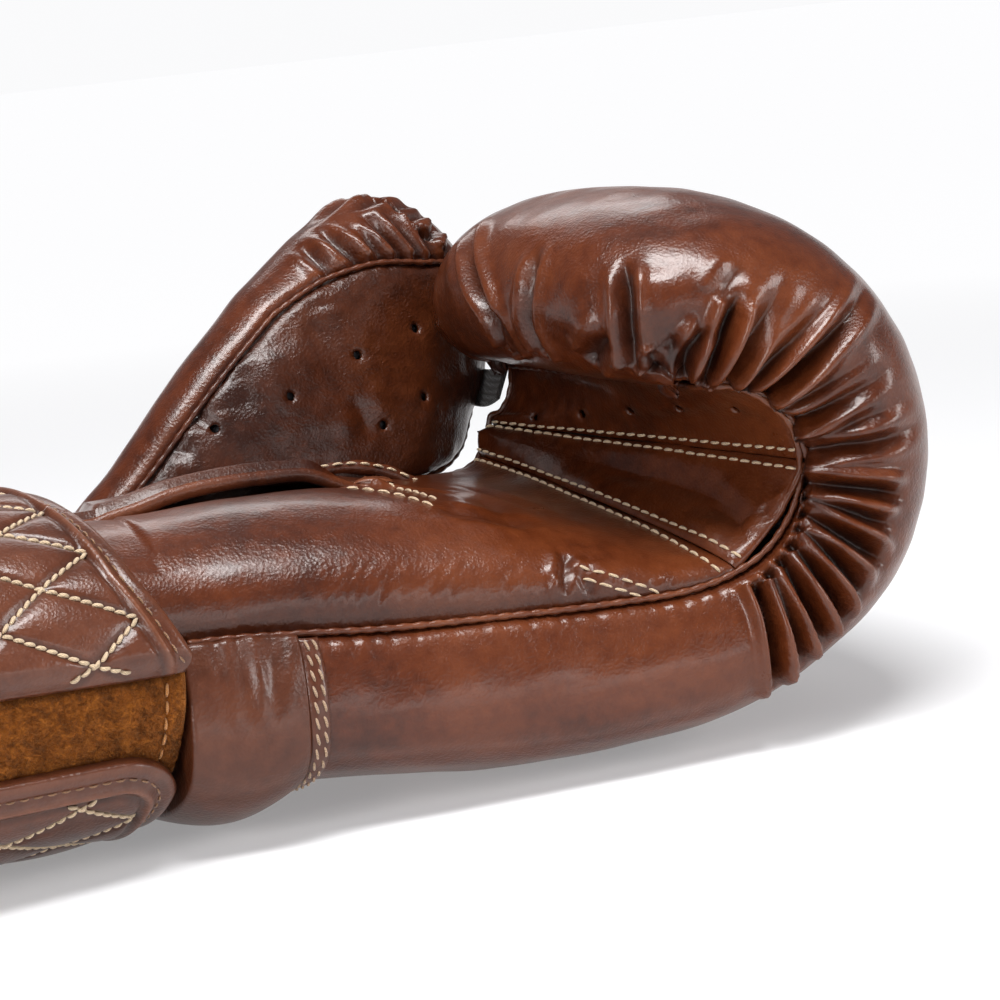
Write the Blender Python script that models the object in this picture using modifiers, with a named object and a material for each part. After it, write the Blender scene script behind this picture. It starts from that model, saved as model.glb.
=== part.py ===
"""Boxing glove for the left hand, hook-and-loop wrap strap, lying on the back of the hand with the palm up.

The glove is drawn in its own axes: X from the cuff (-) over the wrist (0) to the knuckles (+), Y from the little finger (-)
to the thumb (+), Z from the back of the hand up to the palm.  An empty named glove_axis then lays it down, so that it rests
on the wrist band and on the back of the knuckles.  All lengths in the tables are millimetres; meshes are in metres.
"""
import math

import bmesh
import bpy
import numpy as np
from mathutils import Matrix, Vector

# ------------------------------------------------------------------ driving dimensions
MM = 0.001
TILT = math.radians(6.3)        # the glove lies nose-down by this angle about Y
REST_X, REST_Z = 100.0, 9.0     # a point of the resting plane, in the glove's own axes
SHIFT_X, SHIFT_Y = -45.06, -16.81   # puts the origin under the middle of the glove
LEATHER = 1.3                   # leather thickness
GAP = 0.6                       # clearance between neighbouring layers
SEAM_INSET = 2.0                # palm side leather stands this far inside the side seam
CUFF_END = -104.0               # open end of the cuff
STRAP_WIDTH = 66.0
STRAP_IN, STRAP_OUT = 2.6, 8.1  # inner and outer face of the strap, above the cuff leather
VENT_R = 1.3                    # punched ventilation hole radius
SLIT_END = 50.0                 # the entry slit runs from the cuff's end to here
STRAP_HINGES = (8.0, 136.0, 210.0, 294.0)              # fold lines of the strap, degrees round the cuff
STRAP_ARCS = ((11.0, 133.5), (138.5, 207.5), (212.5, 291.0), (297.0, 341.0))
THUMB_AXIS = (52.0, 60.0, 70.0)

# fan of sections from the cuff over the knuckles to the fingertips.  Each row holds the palm-side point (xi, zi), the
# back-side point (xo, zo), the half width W, the centre yc, the depth of the little-finger seam hp and of the index seam
# hi below the palm-side point, the slant S of the finger crease and the share wl of the depth at which the hand is widest
BODY = np.array([
    # xi   zi    xo    zo    W   yc   hp  hi   S   wl
    [-50,  71,  -50,    0,  51,   2,  31,  6,  0, 0.53],
    [-14,  71,  -14,    4,  49,   2,  25,  6,  0, 0.55],
    [ 12,  73,   12,    6,  53,   2,  26,  4,  0, 0.56],
    [ 34,  74,   36,    6,  57,   2,  27,  2,  0, 0.56],
    [ 60,  72,   66,    5,  60,   1,  24,  2,  0, 0.56],
    [ 84,  67,   98,  7.4,  63,   0,  18,  3,  4, 0.55],
    [108,  61,  130,   14,  65,  -1,  10,  3, 12, 0.52],
    [126,  61,  161,   30,  66,  -1,   4,  2, 22, 0.48],
    [138,  68,  182,   50,  66,  -1,   0,  0, 27, 0.45],
    [142,  79,  191,   76,  66,  -1,  -1, -1, 28, 0.42],
    [138,  90,  188,  103,  66,  -1,   0,  0, 25, 0.42],
    [130,  96,  172,  129,  65,  -1,   1,  1, 17, 0.42],
    [123,  99,  147,  144,  64,   0,   1,  1,  8, 0.42],
    [118, 100,  118,  147,  62,   0,   0,  0,  2, 0.42],
    [115, 100,   94,  138,  58,   1,   0,  0,  0, 0.40],
    [114, 100,   85,  120,  54,   2,   0,  0,  0, 0.36],
    [114, 100,   93,  104,  50,   2,   0,  0,  0, 0.30],
    [114, 100,  113, 99.5,  48,   2,   0,  0,  0, 0.20],
])
ROWS = len(BODY) - 1
SEAM_ANGLE = math.radians(32)   # the back shell wraps this far past the widest level, down to the side seam

# thumb sections: centre, width direction u, half width, half thickness, lean of the thickness direction
THUMB = np.array([
    # cx  cy   cz    ux  uy    uz    a   b    nz
    [ 36, 56,  62, 1.00,  0, 0.08,  46, 15, 0.10],
    [ 52, 60,  72, 0.98,  0, -.10,  45, 17, 0.20],
    [ 70, 67,  88, 0.90,  0, -.38,  41, 20, 0.35],
    [ 84, 74, 102, 0.80,  0, -.58,  37, 20, 0.45],
    [ 96, 80, 114, 0.72,  0, -.69,  33, 20, 0.45],
    [105, 84, 123, 0.66,  0, -.75,  26, 17, 0.45],
    [111, 86, 129, 0.64,  0, -.77,  12,  9, 0.45],
])

# distal border of the strap: X against the angle round the cuff
STRAP_EDGE = np.array([[8, -14], [40, -25], [75, -31], [110, -35], [150, -34], [200, -28], [260, -20], [300, -17], [342, -17]], float)


# ------------------------------------------------------------------ surfaces
def curve(points, at):
    """Smooth curve through the points; at runs from 0 to 1 over them."""
    p = np.asarray(points, float)
    k = len(p)
    u = np.asarray(at, float) * (k - 1)
    m = np.empty_like(p)
    m[1:-1] = (p[2:] - p[:-2]) / 2
    m[0], m[-1] = p[1] - p[0], p[-1] - p[-2]
    i = np.clip(np.floor(u).astype(int), 0, k - 2)
    f = (u - i)[:, None]
    return (p[i] * (2 * f**3 - 3 * f**2 + 1) + m[i] * (f**3 - 2 * f**2 + f)
            + p[i + 1] * (-2 * f**3 + 3 * f**2) + m[i + 1] * (f**3 - f**2))


def rest_plane(x):
    """Height of the resting plane in the glove's own axes."""
    return math.tan(TILT) * (x - REST_X) + REST_Z


def sections(k):
    """Columns of the fan table at row positions k (0 .. ROWS), with the section's direction and depth."""
    r = curve(BODY, np.atleast_1d(k) / ROWS)
    xi, zi, xo, zo, w, yc, hp, hi, slant, wl = (r[:, c][:, None] for c in range(10))
    depth = np.maximum(np.hypot(xo - xi, zo - zi), 1e-6)
    return xi, zi, (xo - xi) / depth, (zo - zi) / depth, depth, w, yc, hp, hi, slant, wl


def back(k, phi, off=0.0):
    """Back side of the hand part.  phi is 0 at the little-finger seam and 1 at the index seam; off goes inwards."""
    xi, zi, dx, dz, depth, w, yc, hp, hi, slant, wl = sections(k)
    off = np.asarray(off, float)
    widest = np.maximum(hp, hi) + (depth - np.maximum(hp, hi)) * wl
    f = -SEAM_ANGLE + (math.pi + 2 * SEAM_ANGLE) * np.atleast_1d(phi)[None, :]
    c, s = np.cos(f), np.sin(f)
    seam = np.where(c > 0, hp, hi - slant)
    y = -np.sign(c) * np.abs(c) ** 0.9 * np.maximum(w - off, 2)
    h = (widest + np.where(s > 0, np.abs(s) ** 0.9 * np.maximum(depth - widest - off, 1), 0)
         - np.where(s < 0, np.abs(s) / math.sin(SEAM_ANGLE) * (widest - seam), 0))
    x = xi + dx * h + 0 * y
    z = np.maximum(zi + dz * h + 0 * y, rest_plane(x) + np.maximum(off, 0))
    return np.stack([x, y + yc + 0 * h, z], -1)


def palm(k, v, off=0.0, inset=SEAM_INSET):
    """Palm side, from the wrist over the finger crease to the fingertip seam.  v is -1 at the little finger, 1 at the index."""
    xi, zi, dx, dz, depth, w, yc, hp, hi, slant, wl = sections(k)
    half = w * math.cos(SEAM_ANGLE) ** 0.9 - inset
    v = np.atleast_1d(v)[None, :]
    h = np.where(v < 0, hp, hi) * (1 - np.maximum(0, 1 - np.abs(v) ** 2.6) ** 0.45) - slant * (v + 1) / 2 + off
    y = half * v
    return np.stack([xi + dx * h, y + yc + 0 * h, zi + dz * h + 0 * y], -1)


def cuff_axes(x):
    """Half width, half height and centre height of the cuff at x."""
    f = (-14 - np.asarray(x, float)) / 90.0
    return 47.4 + 4 * f, 31.9 + 5 * f, 37.2 - 4.8 * f


def cuff(x, theta, off=0.0):
    """Cuff surface.  theta in degrees: 0 little finger side, 90 palm, 180 thumb side, 270 back."""
    x, th, off = np.broadcast_arrays(np.asarray(x, float), np.radians(np.asarray(theta, float)), np.asarray(off, float))
    a, b, zc = cuff_axes(x)
    y = 1 - np.sign(np.cos(th)) * np.abs(np.cos(th)) ** 0.95 * (a + off)
    z = zc + np.sign(np.sin(th)) * np.abs(np.sin(th)) ** 0.95 * (b + off)
    return np.stack([x, y, z], -1)


def under_strap(p, start=-16.0, clear=1.3, rise=1.2):
    """Keeps the palm leather below the strap where the strap passes over it."""
    a, b, zc = cuff_axes(p[..., 0])
    off = clear + np.maximum(0, p[..., 0] - start) * rise
    f = (np.abs(p[..., 1] - 1) / (a + off)) ** (2 / 0.95) + (np.abs(p[..., 2] - zc) / (b + off)) ** (2 / 0.95)
    s = np.where(f > 1, np.maximum(f, 1e-9) ** (-0.95 / 2), 1.0)
    q = p.copy()
    q[..., 1] = 1 + (p[..., 1] - 1) * s
    q[..., 2] = zc + (p[..., 2] - zc) * s
    return q


def thumb(s, phi, inset_u=0.0, inset_n=0.0, shift=0.0):
    """Thumb stall.  s is 0 at the base and 1 at the tip; phi in half turns from the fist-side edge over the palm side."""
    r = curve(THUMB, np.atleast_1d(s))
    u = r[:, 3:6] / np.linalg.norm(r[:, 3:6], axis=1)[:, None]
    n = np.stack([0 * r[:, 8], -np.ones(len(r)), r[:, 8]], 1)
    n -= (n * u).sum(1)[:, None] * u
    n /= np.linalg.norm(n, axis=1)[:, None]
    a, b = np.maximum(r[:, 6:7] - inset_u, 1), np.maximum(r[:, 7:8] - inset_n, 1)
    ph = math.pi * np.atleast_1d(phi)[None, :]
    cu, cn = np.cos(ph), np.sin(ph)
    du = np.sign(cu) * np.abs(cu) ** 0.85 * a
    dn = np.sign(cn) * np.abs(cn) ** 0.85 * b + shift
    return r[:, None, :3] + du[..., None] * u[:, None, :] + dn[..., None] * n[:, None, :]


def strap_border(theta):
    return np.interp(theta, STRAP_EDGE[:, 0], STRAP_EDGE[:, 1])


# ------------------------------------------------------------------ Blender helpers
def clear_scene():
    for o in list(bpy.data.objects):
        bpy.data.objects.remove(o)


clear_scene()
GLOVE = bpy.data.collections.new("boxing_glove")
CUTTERS = bpy.data.collections.new("cutters")
bpy.context.scene.collection.children.link(GLOVE)
bpy.context.scene.collection.children.link(CUTTERS)
PIVOTS = {}


def pivot(name, at, parent=None):
    """An empty at a point of the glove's own axes; moving pieces hang from the one on their joint's axis."""
    e = bpy.data.objects.new(name, None)
    GLOVE.objects.link(e)
    e.empty_display_size = 0.01
    PIVOTS[name] = np.array(at, float)
    if parent:
        e.parent = bpy.data.objects[parent]
        e.location = Vector((PIVOTS[name] - PIVOTS[parent]) * MM)
    return e


def material(name, colour, roughness, metallic=0.0):
    m = bpy.data.materials.new(name)
    m.use_nodes = True
    b = m.node_tree.nodes["Principled BSDF"]
    b.inputs["Base Color"].default_value = (*colour, 1)
    b.inputs["Roughness"].default_value = roughness
    b.inputs["Metallic"].default_value = metallic
    m.diffuse_color = (*colour, 1)
    return m


def link(name, mesh, kind, parent, cutter=False):
    o = bpy.data.objects.new(name, mesh)
    (CUTTERS if cutter else GLOVE).objects.link(o)
    o.parent = bpy.data.objects[parent]
    if cutter:
        o.hide_render = True
        o.display_type = "WIRE"
    else:
        colour, rough = FINISH[kind]
        o.data.materials.append(material(name + "_" + kind, colour, rough))
    return o


def local(points, parent):
    return (np.asarray(points, float) - PIVOTS[parent]) * MM


FINISH = {
    "leather": ((0.150, 0.045, 0.020), 0.32),
    "leather_inside": ((0.130, 0.050, 0.026), 0.55),
    "foam": ((0.055, 0.055, 0.060), 0.90),
    "lining": ((0.030, 0.026, 0.026), 0.70),
    "loop": ((0.480, 0.190, 0.045), 0.95),
    "hook": ((0.060, 0.045, 0.040), 0.80),
    "webbing": ((0.020, 0.018, 0.018), 0.80),
}


def sheet(name, grid, inside, kind, thickness=LEATHER, keep=None, wrap=False, tip=False, parent="glove_axis", smooth=True):
    """A leather or cloth piece: the open surface of a grid of points, thickened away from its outer face by Solidify.
    inside is a point on the inner side, which settles which way the surface faces; keep leaves cells out."""
    g = local(grid, parent)
    n, m = g.shape[:2]
    bm = bmesh.new()
    v = [[bm.verts.new(g[i, j]) for j in range(m)] for i in range(n)]
    cols = m if wrap else m - 1
    for i in range(n - 1):
        for j in range(cols):
            if keep is None or keep[i, j]:
                k = (j + 1) % m
                bm.faces.new((v[i][j], v[i][k], v[i + 1][k], v[i + 1][j]))
    if tip:
        c = bm.verts.new(g[-1].mean(0) + (g[-1].mean(0) - g[-2].mean(0)) * 0.6)
        for j in range(cols):
            bm.faces.new((v[-1][j], v[-1][(j + 1) % m], c))
    bmesh.ops.delete(bm, geom=[x for x in bm.verts if not x.link_faces], context="VERTS")
    ref = Vector(local(inside, parent))
    bm.normal_update()
    if sum(f.normal.dot(f.calc_center_median() - ref) * f.calc_area() for f in bm.faces) < 0:
        bmesh.ops.reverse_faces(bm, faces=bm.faces[:])
    mesh = bpy.data.meshes.new(name)
    bm.to_mesh(mesh)
    bm.free()
    o = link(name, mesh, kind, parent)
    s = o.modifiers.new("thickness", "SOLIDIFY")
    s.thickness = thickness * MM
    s.offset = -1
    if smooth:
        mesh.shade_smooth()
        mesh.set_sharp_from_angle(angle=math.radians(40))
    return o


def pad(name, outer, inner, kind, wrap=False, parent="glove_axis"):
    """A foam layer: a solid lofted between two unlike surfaces given as grids of the same size."""
    a, b = local(outer, parent), local(inner, parent)
    n, m = a.shape[:2]
    bm = bmesh.new()
    va = [[bm.verts.new(a[i, j]) for j in range(m)] for i in range(n)]
    vb = [[bm.verts.new(b[i, j]) for j in range(m)] for i in range(n)]
    for i in range(n - 1):
        for j in range(m - 1):
            bm.faces.new((va[i][j], va[i][j + 1], va[i + 1][j + 1], va[i + 1][j]))
            bm.faces.new((vb[i][j], vb[i + 1][j], vb[i + 1][j + 1], vb[i][j + 1]))
    for i in range(n - 1):
        bm.faces.new((va[i][0], va[i + 1][0], vb[i + 1][0], vb[i][0]))
        bm.faces.new((va[i][-1], vb[i][-1], vb[i + 1][-1], va[i + 1][-1]))
    for j in range(m - 1):
        bm.faces.new((va[0][j], vb[0][j], vb[0][j + 1], va[0][j + 1]))
        bm.faces.new((va[-1][j], va[-1][j + 1], vb[-1][j + 1], vb[-1][j]))
    bmesh.ops.recalc_face_normals(bm, faces=bm.faces[:])
    mesh = bpy.data.meshes.new(name)
    bm.to_mesh(mesh)
    bm.free()
    o = link(name, mesh, kind, parent)
    mesh.shade_smooth()
    mesh.set_sharp_from_angle(angle=math.radians(40))
    return o


def tube(name, points, radius, kind, parent="glove_axis", resolution=1):
    """A rolled edge or a round bar: a curve with a bevel depth and filled caps."""
    p = local(points, parent)
    c = bpy.data.curves.new(name, "CURVE")
    c.dimensions = "3D"
    c.bevel_depth = radius * MM
    c.bevel_resolution = resolution
    c.use_fill_caps = True
    s = c.splines.new("POLY")
    s.points.add(len(p) - 1)
    for q, x in zip(s.points, p):
        q.co = (*x, 1)
    return link(name, c, kind, parent)


def vents(target, places, parent="glove_axis"):
    """Punched holes: each place is (point, direction) in the glove's own axes."""
    for i, (at, way) in enumerate(places):
        bm = bmesh.new()
        bmesh.ops.create_cone(bm, cap_ends=True, segments=10, radius1=VENT_R * MM, radius2=VENT_R * MM, depth=9 * MM)
        mesh = bpy.data.meshes.new(f"{target.name}_vent_cutter_{i}")
        bm.to_mesh(mesh)
        bm.free()
        c = link(mesh.name, mesh, "leather", parent, cutter=True)
        way = Vector(np.asarray(way, float)).normalized()
        c.location = Vector(local(at, parent))
        c.rotation_mode = "QUATERNION"
        c.rotation_quaternion = way.to_track_quat("Z", "Y")
        b = target.modifiers.new(f"vent_{i}", "BOOLEAN")
        b.operation = "DIFFERENCE"
        b.solver = "EXACT"
        b.object = c


def spread(a, b, n):
    return np.linspace(a, b, n)


# ------------------------------------------------------------------ how the pieces hang together
lift = REST_X * math.sin(TILT) - REST_Z * math.cos(TILT)
axis = pivot("glove_axis", (0, 0, 0))
axis.rotation_euler = (0, TILT, 0)
axis.location = (SHIFT_X * MM, SHIFT_Y * MM, lift * MM)


def strap_pivot(i):
    return cuff(-52.0, STRAP_HINGES[i], 6.0 if i == 0 else STRAP_OUT + 0.2)


pivot("strap_palm_pivot", strap_pivot(0), "glove_axis")
pivot("strap_side_pivot", strap_pivot(1), "strap_palm_pivot")
pivot("strap_back_pivot", strap_pivot(2), "strap_side_pivot")
pivot("strap_tip_pivot", strap_pivot(3), "strap_back_pivot")
pivot("thumb_pivot", THUMB_AXIS, "glove_axis")

# ------------------------------------------------------------------ hand part: back, padding, palm
k = np.concatenate([spread(2.08, 4, 5), spread(4.5, 13.5, 17), spread(14, 16.6, 7)])
phi = 0.5 - 0.5 * np.cos(math.pi * spread(0, 1, 15)) * (0.55 + 0.45 * np.abs(np.cos(math.pi * spread(0, 1, 15))))
sheet("back_shell", back(k, phi), (90, 0, 60), "leather")

HAND_D1 = ((0, 5), (2, 6), (5, 9), (7, 9), (12, 9), (14, 8), (ROWS, 5))    # outer foam thickness by row
HAND_D2 = ((0, 3), (2, 4), (5, 6.5), (7, 6), (12, 6), (14, 5), (ROWS, 3))      # inner foam thickness by row


def depth_of(table, kk):
    t = np.array(table, float)
    return np.interp(kk, t[:, 0], t[:, 1])[:, None]


FIRST = LEATHER + 2 * GAP + 0.3
KNUCKLE_ROWS = spread(4.6, 13.4, 12)                     # the padding layers share these rows, so that they nest
kf = np.concatenate([(2.15, 3.1, 3.9), KNUCKLE_ROWS, (14.2,)])
pf = spread(0.10, 0.90, 10)
pad("knuckle_foam_outer", back(kf, pf, FIRST), back(kf, pf, FIRST + depth_of(HAND_D1, kf)), "foam")
ki = np.concatenate([(2.3, 3.1, 3.9), KNUCKLE_ROWS])
pi_ = spread(0.13, 0.87, 9)
inner_from = FIRST + depth_of(HAND_D1, ki) + 1.7
pad("knuckle_foam_inner", back(ki, pi_, inner_from), back(ki, pi_, inner_from + depth_of(HAND_D2, ki)), "foam")

vp = np.array([-1, -.93, -.80, -.62, -.42, -.20, .06, .21, .40, .58, .80, .93, 1.0])
kp = np.concatenate([spread(0, 1, 4), spread(1.35, 4, 8), spread(4.45, 6.55, 6)])
gp = under_strap(palm(kp, vp))
keep = np.ones((len(kp) - 1, len(vp) - 1), bool)
mid = (kp[:-1] + kp[1:]) / 2
keep[:, 6] &= ~(mid < 3.6)                               # entry slit
keep[:, 9] &= ~((mid > 2.3) & (mid < 4.5))               # way into the thumb stall
sheet("palm_panel", gp, (60, 0, -200), "leather", keep=keep)

kq = spread(1.5, 5.6, 7)
for side, lo, hi_ in (("little", -0.88, -0.10), ("thumb", 0.27, 0.50)):
    vq = spread(lo, hi_, 5 if side == "little" else 3)
    pad("palm_foam_" + side, palm(kq, vq, 2.3, 4), palm(kq, vq, 6.3, 5), "foam")

# finger crease: the grip bar and its cover, then the vented panel up to the fingertip seam
kg = spread(6.68, 9.15, 9)
roll = -4.0 * np.sin(math.pi * (kg - kg[0]) / (kg[-1] - kg[0]))[:, None] ** 0.8
vg = spread(-1, 1, 11)
sheet("grip_bar_cover", palm(kg, vg, roll), (230, 0, 60), "leather")
bar = palm(np.array([7.9]), spread(-0.90, 0.90, 9), 3.4, 4)[0]
tube("grip_bar_foam", bar, 4.2, "foam", resolution=2)
kv = spread(9.27, 12.9, 8)
vv = spread(-1, 1, 12)
panel = sheet("finger_vent_panel", palm(kv, vv), (210, 0, 120), "leather")
holes = []
for v in (-0.72, -0.36, 0.0, 0.36, 0.70):
    p = palm(np.array([10.4, 10.7]), np.array([v, v + 0.02]))
    way = np.cross(p[1, 0] - p[0, 0], p[0, 1] - p[0, 0])
    holes.append((p[0, 0], way))
vents(panel, holes)

LINING_PALM = ((0, 8.4), (6, 8.6), (7, 9.6), (9, 9.6), (10, 5.5), (ROWS, 4.5))   # depth of the lining behind the palm side by row

# lining of the hand: a thin sock, open at the wrist, at the slit and towards the thumb
kl = np.concatenate([(1.25, 1.8, 2.3, 2.9, 3.4, 3.9), KNUCKLE_ROWS])
deep = FIRST + depth_of(HAND_D1, kl) + 1.0 + depth_of(HAND_D2, kl) + 2.7
outer_side = back(kl, spread(0.16, 0.84, 9), deep)
inner_side = palm(kl, np.array([.74, .52, .30, .16, .02, -.25, -.50, -.74]), depth_of(LINING_PALM, kl), 6)
sock = np.concatenate([outer_side, inner_side], 1)
keep = np.ones((len(kl) - 1, sock.shape[1]), bool)
midl = (kl[:-1] + kl[1:]) / 2
keep[:, 11] &= ~(midl < 3.4)
keep[:, 9] &= ~((midl > 2.3) & (midl < 4.4))
sheet("hand_lining", sock, sock.mean((0, 1)), "lining", 0.8, keep=keep, wrap=True, tip=True)

# wrist: padded band with a double-stitched strip over its seam with the back
kb = spread(1.0, 1.93, 4)
pb = spread(0.02, 0.98, 15)
swell = -(1.6 + 6.6 * np.sin(math.pi * pb) ** 1.5)[None, :]
sheet("wrist_band", back(kb, pb, swell), (0, 0, 40), "leather", 1.5)
sheet("wrist_seam_strip", back(spread(1.99, 2.16, 2), spread(0.03, 0.97, 15), -1.9 - 0 * spread(0, 1, 15)[None, :]), (0, 0, 40), "leather", 1.1)
kw = spread(1.02, 2.03, 3)
pw = spread(0.10, 0.90, 9)
pad("wrist_foam", back(kw, pw, 2.2), back(kw, pw, 7.0), "foam")

# ------------------------------------------------------------------ cuff
def ring_grid(xs, thetas, off):
    return cuff(np.asarray(xs)[:, None], np.asarray(thetas)[None, :], off)


sheet("cuff_back_panel", ring_grid(spread(CUFF_END, -17, 5), spread(189, 367, 15), 0), (-60, 0, 35), "leather")
sheet("cuff_flap_little", ring_grid(spread(CUFF_END, -52, 4), spread(10.5, 83, 8), 0), (-60, 0, 35), "leather")
sheet("cuff_flap_thumb", ring_grid(spread(CUFF_END, -52, 4), spread(100, 185.5, 8), 0), (-60, 0, 35), "leather")
xs = spread(CUFF_END + 2, -18, 4)
pad("cuff_foam_back", ring_grid(xs, spread(194, 362, 12), -2.2), ring_grid(xs, spread(194, 362, 12), -8.4), "foam")
xs = spread(CUFF_END + 2, -54, 3)
pad("cuff_foam_little", ring_grid(xs, spread(16, 78, 6), -2.2), ring_grid(xs, spread(16, 78, 6), -7.6), "foam")
pad("cuff_foam_thumb", ring_grid(xs, spread(105, 180, 6), -2.2), ring_grid(xs, spread(105, 180, 6), -7.6), "foam")
sheet("cuff_lining", ring_grid(spread(CUFF_END + 1, -12, 4), spread(100, 443, 22), -9.4), (-60, 0, 35), "lining", 0.8)
rim = cuff(CUFF_END - 3.6, spread(100, 443, 34), -4.2)
tube("cuff_rim_binding", rim, 2.6, "leather")

# bindings of the slit and the gathered stop at its end
ks = spread(0.05, 3.45, 10)
for side, v in (("little", 0.093), ("thumb", 0.178)):
    line = under_strap(palm(ks, np.array([v]), 0.5))[:, 0]
    tube(f"slit_binding_{side}", line, 1.0, "leather")
stop = palm(np.array([3.95]), np.array([0.13]))[0, 0] + (0, 0, 2.6)
bm = bmesh.new()
bmesh.ops.create_cube(bm, size=1.0)
bmesh.ops.scale(bm, verts=bm.verts[:], vec=Vector((11, 8, 3.2)) * MM)
mesh = bpy.data.meshes.new("slit_stop_tab")
bm.to_mesh(mesh)
bm.free()
tab = link("slit_stop_tab", mesh, "leather", "glove_axis")
tab.location = Vector(stop * MM)
bevel = tab.modifiers.new("rounded", "BEVEL")
bevel.width = 1.2 * MM
bevel.segments = 2

# ------------------------------------------------------------------ strap, in four stiff lengths between its fold lines
th = spread(290, 365, 11)
sheet("loop_panel", np.stack([cuff(np.interp(r, [0, 1], [-100, -17.5]) * np.ones(len(th)), th, 2.0) for r in spread(0, 1, 4)]),
      (-60, 0, 35), "loop", 1.4)

NAMES = ("palm", "side", "back", "tip")
for i, (name, (lo, hi_)) in enumerate(zip(NAMES, STRAP_ARCS)):
    parent = f"strap_{name}_pivot"
    th = spread(lo, hi_, max(5, int((hi_ - lo) / 12)))
    edge = strap_border(th)

    def band(off, margin=0.0):
        return np.stack([cuff(edge - margin - (STRAP_WIDTH - 2 * margin) * r, th, off) for r in spread(0, 1, 4)])

    tip_piece = name == "tip"
    sheet(f"strap_{name}_cover", band(STRAP_OUT), (-60, 0, 35), "leather", 1.2, parent=parent)
    low = 5.5 if tip_piece else 4.4
    pad(f"strap_{name}_padding", band(6.3, 3), band(low, 3), "foam", parent=parent)
    sheet(f"strap_{name}_backing", band(4.9 if tip_piece else 3.7), (-60, 0, 35), "leather_inside", 0.8 if tip_piece else 1.0, parent=parent)
th = spread(299, 338, 5)
edge = strap_border(th)
sheet("hook_patch", np.stack([cuff(edge - 6 - (STRAP_WIDTH - 12) * r, th, 3.6) for r in spread(0, 1, 4)]),
      (-60, 0, 35), "hook", 0.9, parent="strap_tip_pivot")

# ------------------------------------------------------------------ thumb
S0 = 0.185
st = np.concatenate([spread(S0, 0.80, 8), [0.86, 0.91, 0.955]])
pt = np.concatenate([spread(0.04, 0.80, 7), spread(0.94, 1.90, 8)])
g = thumb(st, pt)
keep = np.ones((len(st) - 1, len(pt)), bool)
keep[:7, :6] = False
sheet("thumb_outer_shell", g, g.mean((0, 1)), "leather", keep=keep, wrap=True, tip=True, parent="thumb_pivot")
sp = spread(S0, 0.785, 8)
inner_panel = sheet("thumb_inner_panel", thumb(sp, spread(0.065, 0.775, 9)), (60, 140, 90), "leather", parent="thumb_pivot")
holes = []
for s, p in ((0.34, 0.66), (0.47, 0.64), (0.60, 0.60), (0.72, 0.52), (0.46, 0.40), (0.60, 0.36)):
    q = thumb(np.array([s, s + 0.02]), np.array([p, p + 0.02]))
    holes.append((q[0, 0], np.cross(q[1, 0] - q[0, 0], q[0, 1] - q[0, 0])))
vents(inner_panel, holes, "thumb_pivot")
sf, pfm = spread(S0 + 0.01, 0.82, 7), spread(1.06, 1.90, 8)
pad("thumb_foam_outer", thumb(sf, pfm, 3.4, 2.4), thumb(sf, pfm, 13, 9.0), "foam", parent="thumb_pivot")
sq, pq = spread(S0 + 0.02, 0.76, 6), spread(0.14, 0.74, 6)
pad("thumb_foam_inner", thumb(sq, pq, 3.5, 2.3), thumb(sq, pq, 5.5, 4.3), "foam", parent="thumb_pivot")
sl = spread(S0 + 0.01, 0.80, 7)
lin = thumb(sl, spread(0, 2, 15)[:-1], 16, 8.0, 2.0)
sheet("thumb_lining", lin, lin.mean((0, 1)), "lining", 0.8, wrap=True, tip=True, parent="thumb_pivot")

gus = thumb(spread(0.02, 0.155, 3), spread(1.06, 1.94, 9))
sheet("thumb_gusset", gus, thumb(np.array([0.1]), np.array([0.5]))[0, 0], "leather")
kk = spread(2.15, 4.85, 8)
line = palm(kk, np.array([0.86]), -1.5)[:, 0]
tube("thumb_base_binding", line, 1.0, "leather")
lock = np.array([[119.6, 58.6, 94.2], [117.8, 67.8, 90.2]])
wide = np.array([1.5, 0, 4.5])
sheet("thumb_lock_strap", np.stack([lock - wide, lock + wide]), (112, 60, 0), "webbing", 1.6, smooth=False)
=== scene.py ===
import math

import bpy
import numpy as np
from mathutils import Matrix, Vector
from mathutils.bvhtree import BVHTree
from mathutils.kdtree import KDTree


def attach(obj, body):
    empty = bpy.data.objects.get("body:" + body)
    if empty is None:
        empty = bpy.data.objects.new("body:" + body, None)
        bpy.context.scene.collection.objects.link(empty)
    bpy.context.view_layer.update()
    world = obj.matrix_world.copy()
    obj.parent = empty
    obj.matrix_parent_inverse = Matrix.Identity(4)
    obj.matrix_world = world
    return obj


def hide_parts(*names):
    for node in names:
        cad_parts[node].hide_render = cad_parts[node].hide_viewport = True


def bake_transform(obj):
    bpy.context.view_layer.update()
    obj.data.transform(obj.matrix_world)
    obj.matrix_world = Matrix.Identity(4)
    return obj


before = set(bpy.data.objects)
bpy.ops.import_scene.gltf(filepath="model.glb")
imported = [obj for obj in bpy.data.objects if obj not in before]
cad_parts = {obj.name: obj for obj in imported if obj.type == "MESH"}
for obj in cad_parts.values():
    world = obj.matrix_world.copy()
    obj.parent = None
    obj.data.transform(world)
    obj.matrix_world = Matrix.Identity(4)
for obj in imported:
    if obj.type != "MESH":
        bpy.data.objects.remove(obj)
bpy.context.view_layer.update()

# ================================================================== the glove's own axes (mm), as the CAD has them
MM = 0.001
TILT = math.radians(6.3)
REST_X, REST_Z = 100.0, 9.0
SHIFT_X, SHIFT_Y = -45.06, -16.81
CT, ST = math.cos(TILT), math.sin(TILT)
LIFT = REST_X * ST - REST_Z * CT
SEAM_INSET = 0.3
CUFF_END = -104.0
STRAP_WIDTH = 66.0
STRAP_HINGES = (8.0, 136.0, 210.0, 294.0)
STRAP_ARCS = ((11.0, 133.5), (138.5, 207.5), (212.5, 291.0), (297.0, 341.0))
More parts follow.
